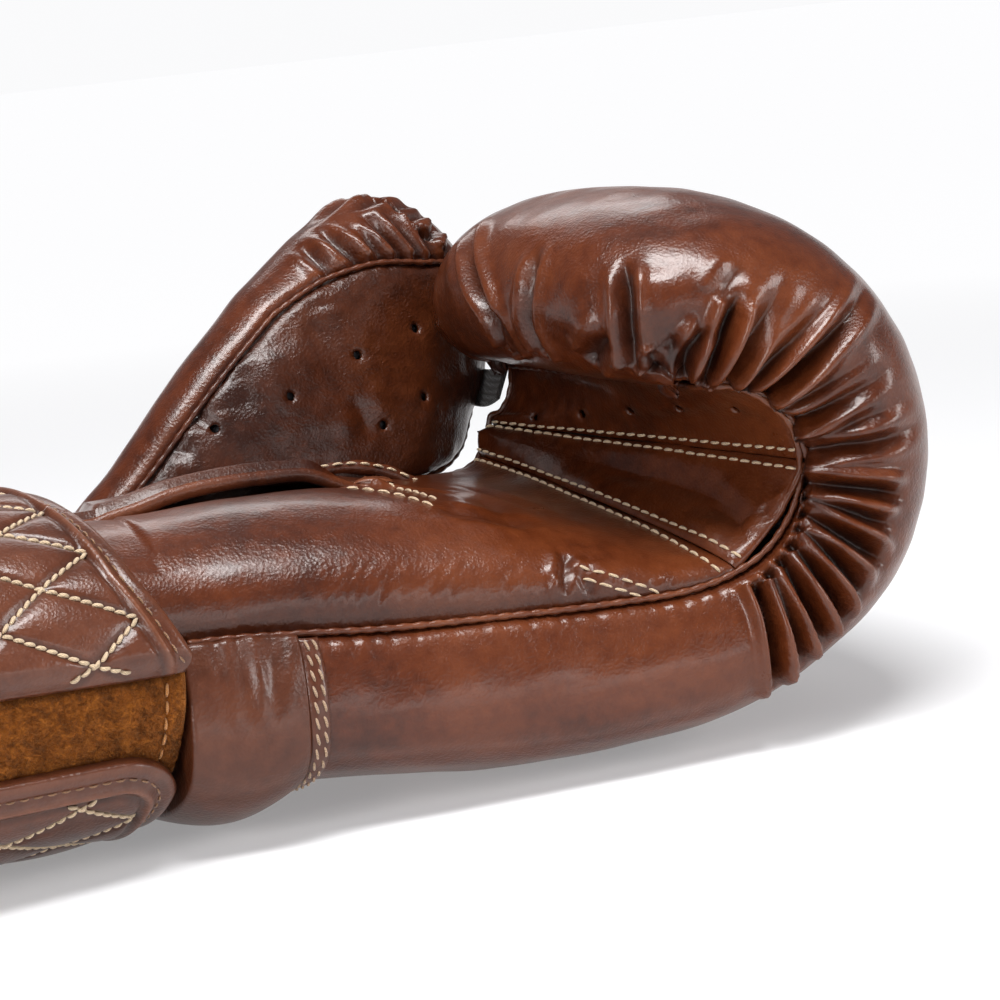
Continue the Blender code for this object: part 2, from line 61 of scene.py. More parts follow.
BODY = np.array([
    [-50, 71, -50, 0, 51, 2, 31, 6, 0, 0.53], [-14, 71, -14, 4, 49, 2, 25, 6, 0, 0.55],
    [12, 73, 12, 6, 53, 2, 26, 4, 0, 0.56], [34, 74, 36, 6, 57, 2, 27, 2, 0, 0.56],
    [60, 72, 66, 5, 60, 1, 24, 2, 0, 0.56], [84, 67, 98, 7.4, 63, 0, 18, 3, 4, 0.55],
    [108, 61, 130, 14, 65, -1, 10, 3, 12, 0.52], [126, 61, 161, 30, 66, -1, 4, 2, 22, 0.48],
    [138, 68, 182, 50, 66, -1, 0, 0, 27, 0.45], [142, 79, 191, 76, 66, -1, -1, -1, 28, 0.42],
    [138, 90, 188, 103, 66, -1, 0, 0, 25, 0.42], [130, 96, 172, 129, 65, -1, 1, 1, 17, 0.42],
    [123, 99, 147, 144, 64, 0, 1, 1, 8, 0.42], [118, 100, 118, 147, 62, 0, 0, 0, 2, 0.42],
    [115, 100, 94, 138, 58, 1, 0, 0, 0, 0.40], [114, 100, 85, 120, 54, 2, 0, 0, 0, 0.36],
    [114, 100, 93, 104, 50, 2, 0, 0, 0, 0.30], [114, 100, 113, 99.5, 48, 2, 0, 0, 0, 0.20]])
ROWS = len(BODY) - 1
SEAM_ANGLE = math.radians(32)
THUMB = np.array([
    [36, 56, 62, 1.00, 0, 0.08, 46, 15, 0.10], [52, 60, 72, 0.98, 0, -.10, 45, 17, 0.20],
    [70, 67, 88, 0.90, 0, -.38, 41, 20, 0.35], [84, 74, 102, 0.80, 0, -.58, 37, 20, 0.45],
    [96, 80, 114, 0.72, 0, -.69, 33, 20, 0.45], [105, 84, 123, 0.66, 0, -.75, 26, 17, 0.45],
    [111, 86, 129, 0.64, 0, -.77, 12, 9, 0.45]])
STRAP_EDGE = np.array([[8, -14], [40, -25], [75, -31], [110, -35], [150, -34], [200, -28], [260, -20], [300, -17], [342, -17]], float)


def W(p):
    """Glove axes in mm to the row frame in metres."""
    p = np.asarray(p, float)
    x, y, z = p[..., 0], p[..., 1], p[..., 2]
    return np.stack([x * CT + z * ST + SHIFT_X, y + SHIFT_Y, -x * ST + z * CT + LIFT], -1) * MM


def curve(points, at):
    p = np.asarray(points, float)
    k = len(p)
    u = np.asarray(at, float) * (k - 1)
    m = np.empty_like(p)
    m[1:-1] = (p[2:] - p[:-2]) / 2
    m[0], m[-1] = p[1] - p[0], p[-1] - p[-2]
    i = np.clip(np.floor(u).astype(int), 0, k - 2)
    f = (u - i)[:, None]
    return (p[i] * (2 * f**3 - 3 * f**2 + 1) + m[i] * (f**3 - 2 * f**2 + f)
            + p[i + 1] * (-2 * f**3 + 3 * f**2) + m[i + 1] * (f**3 - f**2))


def rest_plane(x):
    return math.tan(TILT) * (x - REST_X) + REST_Z


def sections(k):
    r = curve(BODY, np.atleast_1d(k) / ROWS)
    xi, zi, xo, zo, w, yc, hp, hi, slant, wl = (r[:, c][:, None] for c in range(10))
    depth = np.maximum(np.hypot(xo - xi, zo - zi), 1e-6)
    return xi, zi, (xo - xi) / depth, (zo - zi) / depth, depth, w, yc, hp, hi, slant, wl


def back(k, phi, off=0.0):
    xi, zi, dx, dz, depth, w, yc, hp, hi, slant, wl = sections(k)
    off = np.asarray(off, float)
    widest = np.maximum(hp, hi) + (depth - np.maximum(hp, hi)) * wl
    f = -SEAM_ANGLE + (math.pi + 2 * SEAM_ANGLE) * np.atleast_1d(phi)[None, :]
    c, s = np.cos(f), np.sin(f)
    seam = np.where(c > 0, hp, hi - slant)
    y = -np.sign(c) * np.abs(c) ** 0.9 * np.maximum(w - off, 2)
    h = (widest + np.where(s > 0, np.abs(s) ** 0.9 * np.maximum(depth - widest - off, 1), 0)
         - np.where(s < 0, np.abs(s) / math.sin(SEAM_ANGLE) * (widest - seam), 0))
    x = xi + dx * h + 0 * y
    z = np.maximum(zi + dz * h + 0 * y, rest_plane(x) + np.maximum(off, 0))
    return np.stack([x, y + yc + 0 * h, z], -1)


def palm(k, v, off=0.0, inset=SEAM_INSET):
    xi, zi, dx, dz, depth, w, yc, hp, hi, slant, wl = sections(k)
    half = w * math.cos(SEAM_ANGLE) ** 0.9 - inset
    v = np.atleast_1d(v)[None, :]
    h = np.where(v < 0, hp, hi) * (1 - np.maximum(0, 1 - np.abs(v) ** 2.6) ** 0.45) - slant * (v + 1) / 2 + off
    y = half * v
    return np.stack([xi + dx * h, y + yc + 0 * h, zi + dz * h + 0 * y], -1)


def cuff_axes(x):
    f = (-14 - np.asarray(x, float)) / 90.0
    return 47.4 + 4 * f, 31.9 + 5 * f, 37.2 - 4.8 * f


def cuff(x, theta, off=0.0):
    x, th, off = np.broadcast_arrays(np.asarray(x, float), np.radians(np.asarray(theta, float)), np.asarray(off, float))
    a, b, zc = cuff_axes(x)
    y = 1 - np.sign(np.cos(th)) * np.abs(np.cos(th)) ** 0.95 * (a + off)
    z = zc + np.sign(np.sin(th)) * np.abs(np.sin(th)) ** 0.95 * (b + off)
    return np.stack([x, y, z], -1)


def under_strap(p, start=-16.0, clear=1.3, rise=1.2):
    a, b, zc = cuff_axes(p[..., 0])
    off = clear + np.maximum(0, p[..., 0] - start) * rise
    f = (np.abs(p[..., 1] - 1) / (a + off)) ** (2 / 0.95) + (np.abs(p[..., 2] - zc) / (b + off)) ** (2 / 0.95)
    s = np.where(f > 1, np.maximum(f, 1e-9) ** (-0.95 / 2), 1.0)
    q = p.copy()
    q[..., 1] = 1 + (p[..., 1] - 1) * s
    q[..., 2] = zc + (p[..., 2] - zc) * s
    return q


def thumb(s, phi, inset_u=0.0, inset_n=0.0, shift=0.0):
    r = curve(THUMB, np.atleast_1d(s))
    u = r[:, 3:6] / np.linalg.norm(r[:, 3:6], axis=1)[:, None]
    n = np.stack([0 * r[:, 8], -np.ones(len(r)), r[:, 8]], 1)
    n -= (n * u).sum(1)[:, None] * u
    n /= np.linalg.norm(n, axis=1)[:, None]
    a, b = np.maximum(r[:, 6:7] - inset_u, 1), np.maximum(r[:, 7:8] - inset_n, 1)
    ph = math.pi * np.atleast_1d(phi)[None, :]
    cu, cn = np.cos(ph), np.sin(ph)
    du = np.sign(cu) * np.abs(cu) ** 0.85 * a
    dn = np.sign(cn) * np.abs(cn) ** 0.85 * b + shift
    return r[:, None, :3] + du[..., None] * u[:, None, :] + dn[..., None] * n[:, None, :]


def strap_border(theta):
    return np.interp(theta, STRAP_EDGE[:, 0], STRAP_EDGE[:, 1])


# ================================================================== camera (the glove's own axes, turned with the glove)
scene = bpy.context.scene
R3 = np.array([[CT, 0, ST], [0, 1, 0], [-ST, 0, CT]])
AZ, EL, DIST, AIM, FPX = math.radians(27.5), math.radians(7.5), 700.0, np.array([75.0, -25.0, 72.0]), 2865.0
fwd = np.array([math.sin(AZ) * math.cos(EL), math.cos(AZ) * math.cos(EL), -math.sin(EL)])
right = np.array([math.cos(AZ), -math.sin(AZ), 0.0])
up = np.cross(right, fwd)
EYE = AIM - fwd * DIST
cam_data = bpy.data.cameras.new("camera")
cam_data.sensor_width = 36.0
cam_data.lens = FPX * 36.0 / 1000.0
cam_data.clip_start = 0.01
cam = bpy.data.objects.new("camera", cam_data)
scene.collection.objects.link(cam)
m = np.eye(4)
m[:3, 0], m[:3, 1], m[:3, 2] = R3 @ right, R3 @ up, R3 @ -fwd
m[:3, 3] = W(EYE)
cam.matrix_world = Matrix(m.tolist())
scene.camera = cam


def ray(px, py):
    """Direction, in the glove's own axes, of a point of the view."""
    d = fwd + right * (px - 500) / FPX - up * (py - 500) / FPX
    return d / np.linalg.norm(d)


# ================================================================== mesh helpers
def normals_of(P, wrap=False):
    """Unit normals of a grid of points."""
    du = np.gradient(P, axis=0)
    if wrap:
        dv = (np.roll(P, -1, 1) - np.roll(P, 1, 1)) / 2
    else:
        dv = np.gradient(P, axis=1)
    n = np.cross(du, dv)
    length = np.linalg.norm(n, axis=-1, keepdims=True)
    n = n / np.maximum(length, 1e-9)
    return n


def faced(P, inside, wrap=False):
    """Unit normals that point away from inside."""
    n = normals_of(P, wrap)
    if ((P - np.asarray(inside, float)) * n).sum() < 0:
        n = -n
    return n


def smoothstep(a, b, x):
    t = np.clip((np.asarray(x, float) - a) / (b - a), 0, 1)
    return t * t * (3 - 2 * t)


def wave(x, seed):
    """Smooth wandering value from -1 to 1 along x."""
    r = np.random.RandomState(seed)
    out = 0
    for i in range(5):
        out = out + math.pow(0.62, i) * np.sin(x * (1.0 + 0.83 * i) + r.uniform(0, 6.28))
    return out / 1.9


def noise3(P, scale, seed):
    """Cheap smooth noise on points, in mm."""
    r = np.random.RandomState(seed)
    out = np.zeros(P.shape[:-1])
    for i in range(7):
        d = r.normal(size=3)
        d /= np.linalg.norm(d)
        out += np.sin((P @ d) * (2 * math.pi / scale) * r.uniform(0.6, 1.6) + r.uniform(0, 6.28))
    return out / 3.2


def mesh_object(name, verts_mm, faces, mat, body, shade_and_wear=None, replaces=(), smooth=True, raw=False):
    me = bpy.data.meshes.new(name)
    me.from_pydata((verts_mm if raw else W(verts_mm)).tolist(), [], faces)
    me.validate()
    if smooth:
        me.shade_smooth()
    if shade_and_wear is not None:
        a = me.attributes.new("shade_and_wear", "FLOAT", "POINT")
        a.data.foreach_set("value", np.asarray(shade_and_wear, np.float32).ravel())
    o = bpy.data.objects.new(name, me)
    scene.collection.objects.link(o)
    me.materials.append(mat)
    if body:
        if isinstance(body, str):
            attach(o, body)
        else:
            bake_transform(o)
    if replaces:
        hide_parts(*replaces)
    return o


def grid_faces(n, m, wrap=False, keep=None, flip=False, base=0):
    i, j = np.meshgrid(np.arange(n - 1), np.arange(m if wrap else m - 1), indexing="ij")
    if keep is not None:
        i, j = i[keep], j[keep]
    i, j = i.ravel(), j.ravel()
    k = (j + 1) % m
    a, b, c, d = i * m + j, i * m + k, (i + 1) * m + k, (i + 1) * m + j
    q = np.stack([a, b, c, d], 1) + base
    return (q[:, ::-1] if flip else q)


def skin(name, P, N, thick, mat, body, wrap=False, keep=None, shade_and_wear=None, replaces=(), cap=False):
    """A leather or cloth piece with real thickness: outer face P, inner face P - N * thick, closed round every border."""
    n, m = P.shape[:2]
    cross = normals_of(P, wrap)
    flip = (cross * N).sum() < 0
    outer = grid_faces(n, m, wrap, keep, flip=flip)
    total = n * m
    inner = grid_faces(n, m, wrap, keep, flip=not flip, base=total)
    e = np.concatenate([outer[:, [0, 1]], outer[:, [1, 2]], outer[:, [2, 3]], outer[:, [3, 0]]])
    code = e[:, 0].astype(np.int64) * (2 * total) + e[:, 1]
    rev = e[:, 1].astype(np.int64) * (2 * total) + e[:, 0]
    rim = e[~np.isin(code, rev)]
    walls = np.stack([rim[:, 1], rim[:, 0], rim[:, 0] + total, rim[:, 1] + total], 1)
    verts = np.concatenate([P.reshape(-1, 3), (P - N * thick).reshape(-1, 3)])
    faces = [outer, inner, walls]
    extra = []
    if cap:
        c = P[-1].mean(0) + N[-1].mean(0) * 0.2
        ids = np.arange(m) + (n - 1) * m
        nxt = np.roll(ids, -1)
        top, bot = 2 * total, 2 * total + 1
        verts = np.concatenate([verts, [c], [c - N[-1].mean(0) * thick]])
        a = np.stack([ids, nxt, np.full(m, top)], 1)
        b = np.stack([nxt + total, ids + total, np.full(m, bot)], 1)
        if flip:
            a, b = a[:, ::-1], b[:, ::-1]
        extra = a.tolist() + b.tolist()
        last = set(ids.tolist())
        walls = np.array([w for w in walls.tolist() if not (w[0] in last and w[1] in last)])
        faces = [outer, inner, walls]
    used = np.zeros(len(verts), bool)
    allf = np.concatenate(faces)
    used[allf.ravel()] = True
    for f in extra:
        used[f] = True
    remap = np.cumsum(used) - 1
    fl = remap[allf].tolist() + [[int(remap[i]) for i in f] for f in extra]
    if shade_and_wear is None:
        shade_and_wear = np.zeros((n, m))
    shade_wear = np.concatenate([shade_and_wear.ravel(), shade_and_wear.ravel(), [0.0, 0.0] if cap else []])[used]
    return mesh_object(name, verts[used], fl, mat, body, shade_and_wear=shade_wear, replaces=replaces)


def tube_mesh(line, radius, sides=10, closed=False, flat=None):
    """Vertices and faces of a rounded bar along a line; radius may vary along it."""
    p = np.asarray(line, float)
    n = len(p)
    r = np.broadcast_to(np.asarray(radius, float), (n,))
    t = (np.roll(p, -1, 0) - np.roll(p, 1, 0)) if closed else np.gradient(p, axis=0)
    t /= np.maximum(np.linalg.norm(t, axis=1, keepdims=True), 1e-9)
    a = np.zeros_like(p)
    ref = np.array([0.0, 0.0, 1.0]) if abs(t[0, 2]) < 0.9 else np.array([1.0, 0, 0])
    a[0] = ref - t[0] * (ref @ t[0])
    a[0] /= np.linalg.norm(a[0])
    for i in range(1, n):
        v = a[i - 1] - t[i] * (a[i - 1] @ t[i])
        a[i] = v / max(np.linalg.norm(v), 1e-9)
    b = np.cross(t, a)
    ang = np.arange(sides) * 2 * math.pi / sides
    P = p[:, None] + r[:, None, None] * (np.cos(ang)[None, :, None] * a[:, None] + np.sin(ang)[None, :, None] * b[:, None])
    faces = grid_faces(n, sides, True, flip=True).tolist()
    verts = P.reshape(-1, 3)
    if closed:
        i = np.arange(sides)
        k = (i + 1) % sides
        faces += np.stack([(n - 1) * sides + k, (n - 1) * sides + i, i, k], 1).tolist()
    else:
        faces.append(list(range(sides)))
        faces.append([(n - 1) * sides + i for i in range(sides)][::-1])
    return verts, faces


def tube(name, line, radius, mat, body, sides=10, closed=False, replaces=()):
    v, f = tube_mesh(line, radius, sides, closed)
    return mesh_object(name, v, f, mat, body, shade_and_wear=np.zeros(len(v)), replaces=replaces)


def resample(line, step):
    p = np.asarray(line, float)
    d = np.concatenate([[0], np.cumsum(np.linalg.norm(np.diff(p, axis=0), axis=1))])
    n = max(2, int(round(d[-1] / step)) + 1)
    s = np.linspace(0, d[-1], n)
    return np.stack([np.interp(s, d, p[:, i]) for i in range(3)], 1), d[-1]


class Surface:
    """A finished outer face, to lay thread on."""

    def __init__(self, P, N):
        self.P, self.N = P.reshape(-1, 3), N.reshape(-1, 3)
        self.tree = KDTree(len(self.P))
        for i, p in enumerate(self.P):
            self.tree.insert(p, i)
        self.tree.balance()

    def snap(self, q):
        out, nor = [], []
        for p in np.asarray(q, float):
            near = self.tree.find_n(p, 4)
            w = np.array([1 / (x[2] + 0.05) for x in near])
            w /= w.sum()
            i = [x[1] for x in near]
            n = (self.N[i] * w[:, None]).sum(0)
            n /= max(np.linalg.norm(n), 1e-9)
            base = (self.P[i] * w[:, None]).sum(0)
            d = (p - base) @ n
            out.append(p - n * d)
            nor.append(n)
        return np.array(out), np.array(nor)


def stitches(name, lines, surface, mat, body, length=3.3, gap=1.2, radius=0.42, sunk=0.10, slant=0.0):
    """Rows of thread: each stitch is a swollen bead that dips into its two holes."""
    verts, faces, base = [], [], 0
    for line in lines:
        pts, total = resample(line, 0.8)
        pos, nor = surface.snap(pts)
        d = np.concatenate([[0], np.cumsum(np.linalg.norm(np.diff(pos, axis=0), axis=1))])
        count = max(1, int(d[-1] / (length + gap)))
        pitch = d[-1] / count
        for i in range(count):
            s = np.linspace(i * pitch + gap / 2, (i + 1) * pitch - gap / 2, 7)
            q = np.stack([np.interp(s, d, pos[:, c]) for c in range(3)], 1)
            nn = np.stack([np.interp(s, d, nor[:, c]) for c in range(3)], 1)
            nn /= np.linalg.norm(nn, axis=1, keepdims=True)
            t = q[-1] - q[0]
            t /= max(np.linalg.norm(t), 1e-9)
            side = np.cross(nn[3], t)
            u = np.linspace(-1, 1, 7)
            q = q + nn * (radius * (0.95 - 1.25 * np.abs(u) ** 3.0) - sunk)[:, None] + side * (slant * u)[:, None]
            r = radius * (1 - 0.45 * np.abs(u) ** 3)
            v, f = tube_mesh(q, r, 6)
            verts.append(v)
            faces += [[k + base for k in g] for g in f]
            base += len(v)
    v = np.concatenate(verts)
    return mesh_object(name, v, faces, mat, body, shade_and_wear=np.zeros(len(v)))


# ================================================================== materials
def node_material(name):
    mat = bpy.data.materials.new(name)
    mat.use_nodes = True
    nt = mat.node_tree
    bsdf = nt.nodes["Principled BSDF"]
    coord = nt.nodes.new("ShaderNodeTexCoord").outputs["Object"]
    return mat, nt, bsdf, coord


def noise(nt, coord, scale, detail=4.0, rough=0.55, distortion=0.0):
    n = nt.nodes.new("ShaderNodeTexNoise")
    n.inputs["Scale"].default_value = scale
    n.inputs["Detail"].default_value = detail
    n.inputs["Roughness"].default_value = rough
    n.inputs["Distortion"].default_value = distortion
    nt.links.new(coord, n.inputs["Vector"])
    return n.outputs["Fac"]


def ramp(nt, fac, stops):
    r = nt.nodes.new("ShaderNodeValToRGB")
    e = r.color_ramp.elements
    while len(e) < len(stops):
        e.new(0.5)
    for el, (p, c) in zip(e, stops):
        el.position = p
        el.color = (*c, 1) if len(c) == 3 else c
    nt.links.new(fac, r.inputs["Fac"])
    return r.outputs["Color"]


def math_node(nt, op, a, b=None, clamp=False):
    n = nt.nodes.new("ShaderNodeMath")
    n.operation = op
    n.use_clamp = clamp
    for i, x in enumerate((a, b)):
        if x is None:
            continue
        if isinstance(x, (int, float)):
            n.inputs[i].default_value = x
        else:
            nt.links.new(x, n.inputs[i])
    return n.outputs[0]


def mix(nt, fac, a, b, kind="MIX"):
    n = nt.nodes.new("ShaderNodeMix")
    n.data_type = "RGBA"
    n.blend_type = kind
    for name_, x in (("Factor", fac), ("A", a), ("B", b)):
        socket = [s for s in n.inputs if s.name == name_ and (s.type == ("VALUE" if name_ == "Factor" else "RGBA"))][0]
        if isinstance(x, (int, float)):
            socket.default_value = x
        elif isinstance(x, tuple):
            socket.default_value = (*x, 1)
        else:
            nt.links.new(x, socket)
    return [s for s in n.outputs if s.type == "RGBA"][0]


def bump(nt, height, strength, distance, normal=None):
    b = nt.nodes.new("ShaderNodeBump")
    b.inputs["Strength"].default_value = strength
    b.inputs["Distance"].default_value = distance
    nt.links.new(height, b.inputs["Height"])
    if normal is not None:
        nt.links.new(normal, b.inputs["Normal"])
    return b.outputs["Normal"]


def shade_and_wear_of(nt):
    a = nt.nodes.new("ShaderNodeAttribute")
    a.attribute_type = "GEOMETRY"
    a.attribute_name = "shade_and_wear"
    return a.outputs["Fac"]


def leather(name, dark, mid, light, rough=0.27, grain=1.0, coat=0.55, wrinkle=1.0):
    """Waxed cow leather: mottled dye, pores and grain cells, fine drape wrinkles, paler where it is worn, with painted
    shade darkening folds, seams and grooves.
    """
    mat, nt, b, co = node_material(name)
    big = noise(nt, co, 18.0, 3.0, 0.55, 0.4)
    fine = noise(nt, co, 260.0, 5.0, 0.6)
    mottled = math_node(nt, "ADD", math_node(nt, "MULTIPLY", big, 0.65), math_node(nt, "MULTIPLY", fine, 0.35))
    base = ramp(nt, mottled, [(0.37, dark), (0.50, mid), (0.65, light)])
    shade_wear = shade_and_wear_of(nt)
    fold = math_node(nt, "MULTIPLY", math_node(nt, "MULTIPLY", shade_wear, -1.0), 1.0, clamp=True)
    worn = math_node(nt, "MULTIPLY", shade_wear, 1.0, clamp=True)
    worn = math_node(nt, "MULTIPLY", worn, math_node(nt, "ADD", math_node(nt, "MULTIPLY", noise(nt, co, 420.0, 4.0), 0.9), 0.35), clamp=True)
    # painted shade: the colour is mixed towards a near-black brown where the map is negative, in folds, valleys, seams
    # and grooves
    base = mix(nt, math_node(nt, "MULTIPLY", fold, 0.90), base, (dark[0] * 0.30, dark[1] * 0.26, dark[2] * 0.24))
    base = mix(nt, math_node(nt, "MULTIPLY", worn, 0.75), base, (min(1, light[0] * 1.75 + 0.05), light[1] * 1.85 + 0.03, light[2] * 1.8 + 0.02))
    nt.links.new(base, b.inputs["Base Color"])
    cell = nt.nodes.new("ShaderNodeTexVoronoi")
    cell.feature = "F1"
    cell.inputs["Scale"].default_value = 1150.0
    cell.inputs["Randomness"].default_value = 1.0
    warp = nt.nodes.new("ShaderNodeVectorMath")
    warp.operation = "MULTIPLY_ADD"
    nz = nt.nodes.new("ShaderNodeTexNoise")
    nz.inputs["Scale"].default_value = 300.0
    nz.inputs["Detail"].default_value = 2.0
    nt.links.new(co, nz.inputs["Vector"])
    nt.links.new(nz.outputs["Color"], warp.inputs[0])
    warp.inputs[1].default_value = (0.0016, 0.0016, 0.0016)
    nt.links.new(co, warp.inputs[2])
    nt.links.new(warp.outputs[0], cell.inputs["Vector"])
    pore = cell.outputs["Distance"]
    wr = noise(nt, co, 130.0, 6.0, 0.62, 1.4)
    wr2 = math_node(nt, "ABSOLUTE", math_node(nt, "SUBTRACT", wr, 0.5))
    n1 = bump(nt, wr2, 0.36 * wrinkle, 0.0011)
    n2 = bump(nt, pore, 0.32 * grain, 0.00026, n1)
    n3 = bump(nt, noise(nt, co, 2400.0, 3.0), 0.10 * grain, 0.00012, n2)
    nt.links.new(n3, b.inputs["Normal"])
    rr = math_node(nt, "ADD", math_node(nt, "MULTIPLY", noise(nt, co, 45.0, 5.0, 0.65), 0.22), rough - 0.09)
    rr = math_node(nt, "ADD", rr, math_node(nt, "MULTIPLY", fold, 0.16))
    nt.links.new(rr, b.inputs["Roughness"])
    b.inputs["Specular IOR Level"].default_value = 0.36
    b.inputs["Coat Weight"].default_value = coat * 0.8
    b.inputs["Coat Roughness"].default_value = 0.13
    b.inputs["Coat IOR"].default_value = 1.45
    b.inputs["Coat Tint"].default_value = (1.0, 0.88, 0.82, 1)
    nt.links.new(bump(nt, wr2, 0.20 * wrinkle, 0.0009), b.inputs["Coat Normal"])
    mat.diffuse_color = (*mid, 1)
    return mat


def cloth_material(name, dark, light, weave=900.0, sheen=0.3, rough=0.85, strength=0.5):
    mat, nt, b, co = node_material(name)
    mot = noise(nt, co, 90.0, 5.0, 0.6)
    w1 = nt.nodes.new("ShaderNodeTexWave")
    w1.wave_type = "BANDS"
    w1.bands_direction = "X"
    w1.inputs["Scale"].default_value = weave
    w1.inputs["Distortion"].default_value = 1.2
    w2 = nt.nodes.new("ShaderNodeTexWave")
    w2.wave_type = "BANDS"
    w2.bands_direction = "Y"
    w2.inputs["Scale"].default_value = weave
    w2.inputs["Distortion"].default_value = 1.2
    nt.links.new(co, w1.inputs["Vector"])
    nt.links.new(co, w2.inputs["Vector"])
    both = math_node(nt, "MAXIMUM", w1.outputs["Fac"], w2.outputs["Fac"])
    f = math_node(nt, "ADD", math_node(nt, "MULTIPLY", both, 0.4), math_node(nt, "MULTIPLY", mot, 0.6))
    nt.links.new(ramp(nt, f, [(0.25, dark), (0.75, light)]), b.inputs["Base Color"])
    nt.links.new(bump(nt, both, strength, 0.0003), b.inputs["Normal"])
    b.inputs["Roughness"].default_value = rough
    b.inputs["Sheen Weight"].default_value = sheen
    b.inputs["Sheen Roughness"].default_value = 0.5
    return mat


def fuzz_material(name):
    """Napped loop cloth: clumped pile, orange over brown, velvety edge light."""
    mat, nt, b, co = node_material(name)
    clump = noise(nt, co, 230.0, 6.0, 0.7, 0.9)
    pile = noise(nt, co, 1500.0, 5.0, 0.75, 0.6)
    area = noise(nt, co, 40.0, 3.0, 0.5)
    f = math_node(nt, "ADD", math_node(nt, "MULTIPLY", clump, 0.55), math_node(nt, "MULTIPLY", pile, 0.30))
    f = math_node(nt, "ADD", f, math_node(nt, "MULTIPLY", area, 0.15))
    col = ramp(nt, f, [(0.38, (0.075, 0.016, 0.0015)), (0.50, (0.250, 0.064, 0.005)), (0.62, (0.50, 0.155, 0.018))])
    nt.links.new(col, b.inputs["Base Color"])
    n1 = bump(nt, clump, 0.9, 0.0012)
    nt.links.new(bump(nt, pile, 1.0, 0.0007, n1), b.inputs["Normal"])
    b.inputs["Roughness"].default_value = 0.95
    b.inputs["Specular IOR Level"].default_value = 0.12
    b.inputs["Sheen Weight"].default_value = 0.22
    b.inputs["Sheen Roughness"].default_value = 0.6
    b.inputs["Sheen Tint"].default_value = (1.0, 0.62, 0.30, 1)
    return mat


def thread_material(name, col):
    mat, nt, b, co = node_material(name)
    w = nt.nodes.new("ShaderNodeTexWave")
    w.wave_type = "BANDS"
    w.bands_direction = "DIAGONAL"
    w.inputs["Scale"].default_value = 1300.0
    w.inputs["Distortion"].default_value = 1.0
    nt.links.new(co, w.inputs["Vector"])
    f = math_node(nt, "ADD", math_node(nt, "MULTIPLY", w.outputs["Fac"], 0.4), math_node(nt, "MULTIPLY", noise(nt, co, 160.0, 4.0), 0.6))
    nt.links.new(ramp(nt, f, [(0.2, tuple(c * 0.62 for c in col)), (0.7, col)]), b.inputs["Base Color"])
    nt.links.new(bump(nt, w.outputs["Fac"], 0.6, 0.00025), b.inputs["Normal"])
    b.inputs["Roughness"].default_value = 0.6
    b.inputs["Sheen Weight"].default_value = 0.25
    return mat


def foam_material(name):
    mat, nt, b, co = node_material(name)
    v = nt.nodes.new("ShaderNodeTexVoronoi")
    v.inputs["Scale"].default_value = 700.0
    nt.links.new(co, v.inputs["Vector"])
    nt.links.new(ramp(nt, v.outputs["Distance"], [(0.1, (0.02, 0.02, 0.022)), (0.6, (0.09, 0.09, 0.10))]), b.inputs["Base Color"])
    nt.links.new(bump(nt, v.outputs["Distance"], 0.6, 0.0006), b.inputs["Normal"])
    b.inputs["Roughness"].default_value = 0.9
    return mat


SHELL = leather("shell_leather", (0.0371, 0.0070, 0.0016), (0.0781, 0.0166, 0.0040), (0.1184, 0.0292, 0.0081), rough=0.29, coat=0.40, wrinkle=0.7)
PANEL = leather("panel_leather", (0.0397, 0.0076, 0.0017), (0.0819, 0.0180, 0.0044), (0.1216, 0.0303, 0.0084), rough=0.29, coat=0.40, wrinkle=0.6)
THUMBL = leather("thumb_leather", (0.0246, 0.0051, 0.0014), (0.0535, 0.0122, 0.0035), (0.0853, 0.0224, 0.0070), rough=0.30, coat=0.22, grain=1.3, wrinkle=1.2)
BAND = leather("band_leather", (0.0415, 0.0108, 0.0041), (0.0740, 0.0203, 0.0082), (0.1072, 0.0327, 0.0141), rough=0.33, coat=0.25, wrinkle=0.5)
STRAPL = leather("strap_leather", (0.0458, 0.0125, 0.0054), (0.0828, 0.0243, 0.0111), (0.1220, 0.0393, 0.0189), rough=0.30, coat=0.35, wrinkle=0.5)
TRIM = leather("trim_leather", (0.0459, 0.0102, 0.0032), (0.0918, 0.0224, 0.0070), (0.1530, 0.0448, 0.0160), rough=0.36, coat=0.2, wrinkle=0.6)
INSIDE = leather("inside_leather", (0.035, 0.011, 0.005), (0.060, 0.020, 0.010), (0.080, 0.030, 0.016), rough=0.6, coat=0.0)
THREAD = thread_material("thread_cream", (0.70, 0.52, 0.33))
THREAD_DARK = thread_material("thread_brown", (0.30, 0.145, 0.062))
LOOP = fuzz_material("loop_cloth")
LINING = cloth_material("lining_cloth", (0.012, 0.009, 0.009), (0.045, 0.036, 0.034))
HOOK = cloth_material("hook_tape", (0.02, 0.014, 0.011), (0.06, 0.045, 0.035), weave=500.0, sheen=0.1, strength=1.0)
WEBBING = cloth_material("webbing", (0.008, 0.006, 0.006), (0.03, 0.024, 0.022), weave=420.0, sheen=0.2, strength=0.9)
FOAM = foam_material("foam")

for name_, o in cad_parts.items():
    n_ = name_
    kind = (FOAM if "foam" in n_ or n_.endswith("_padding") else LINING if "lining" in n_ else LOOP if n_ == "loop_panel"
            else HOOK if n_ == "hook_patch" else WEBBING if n_ == "thumb_lock_strap" else INSIDE if n_.endswith("_backing")
            else BAND if n_ == "wrist_band" else STRAPL if n_.startswith("strap_") else PANEL)
    for s in o.material_slots:
        s.material = kind
    if not o.material_slots:
        o.data.materials.append(kind)


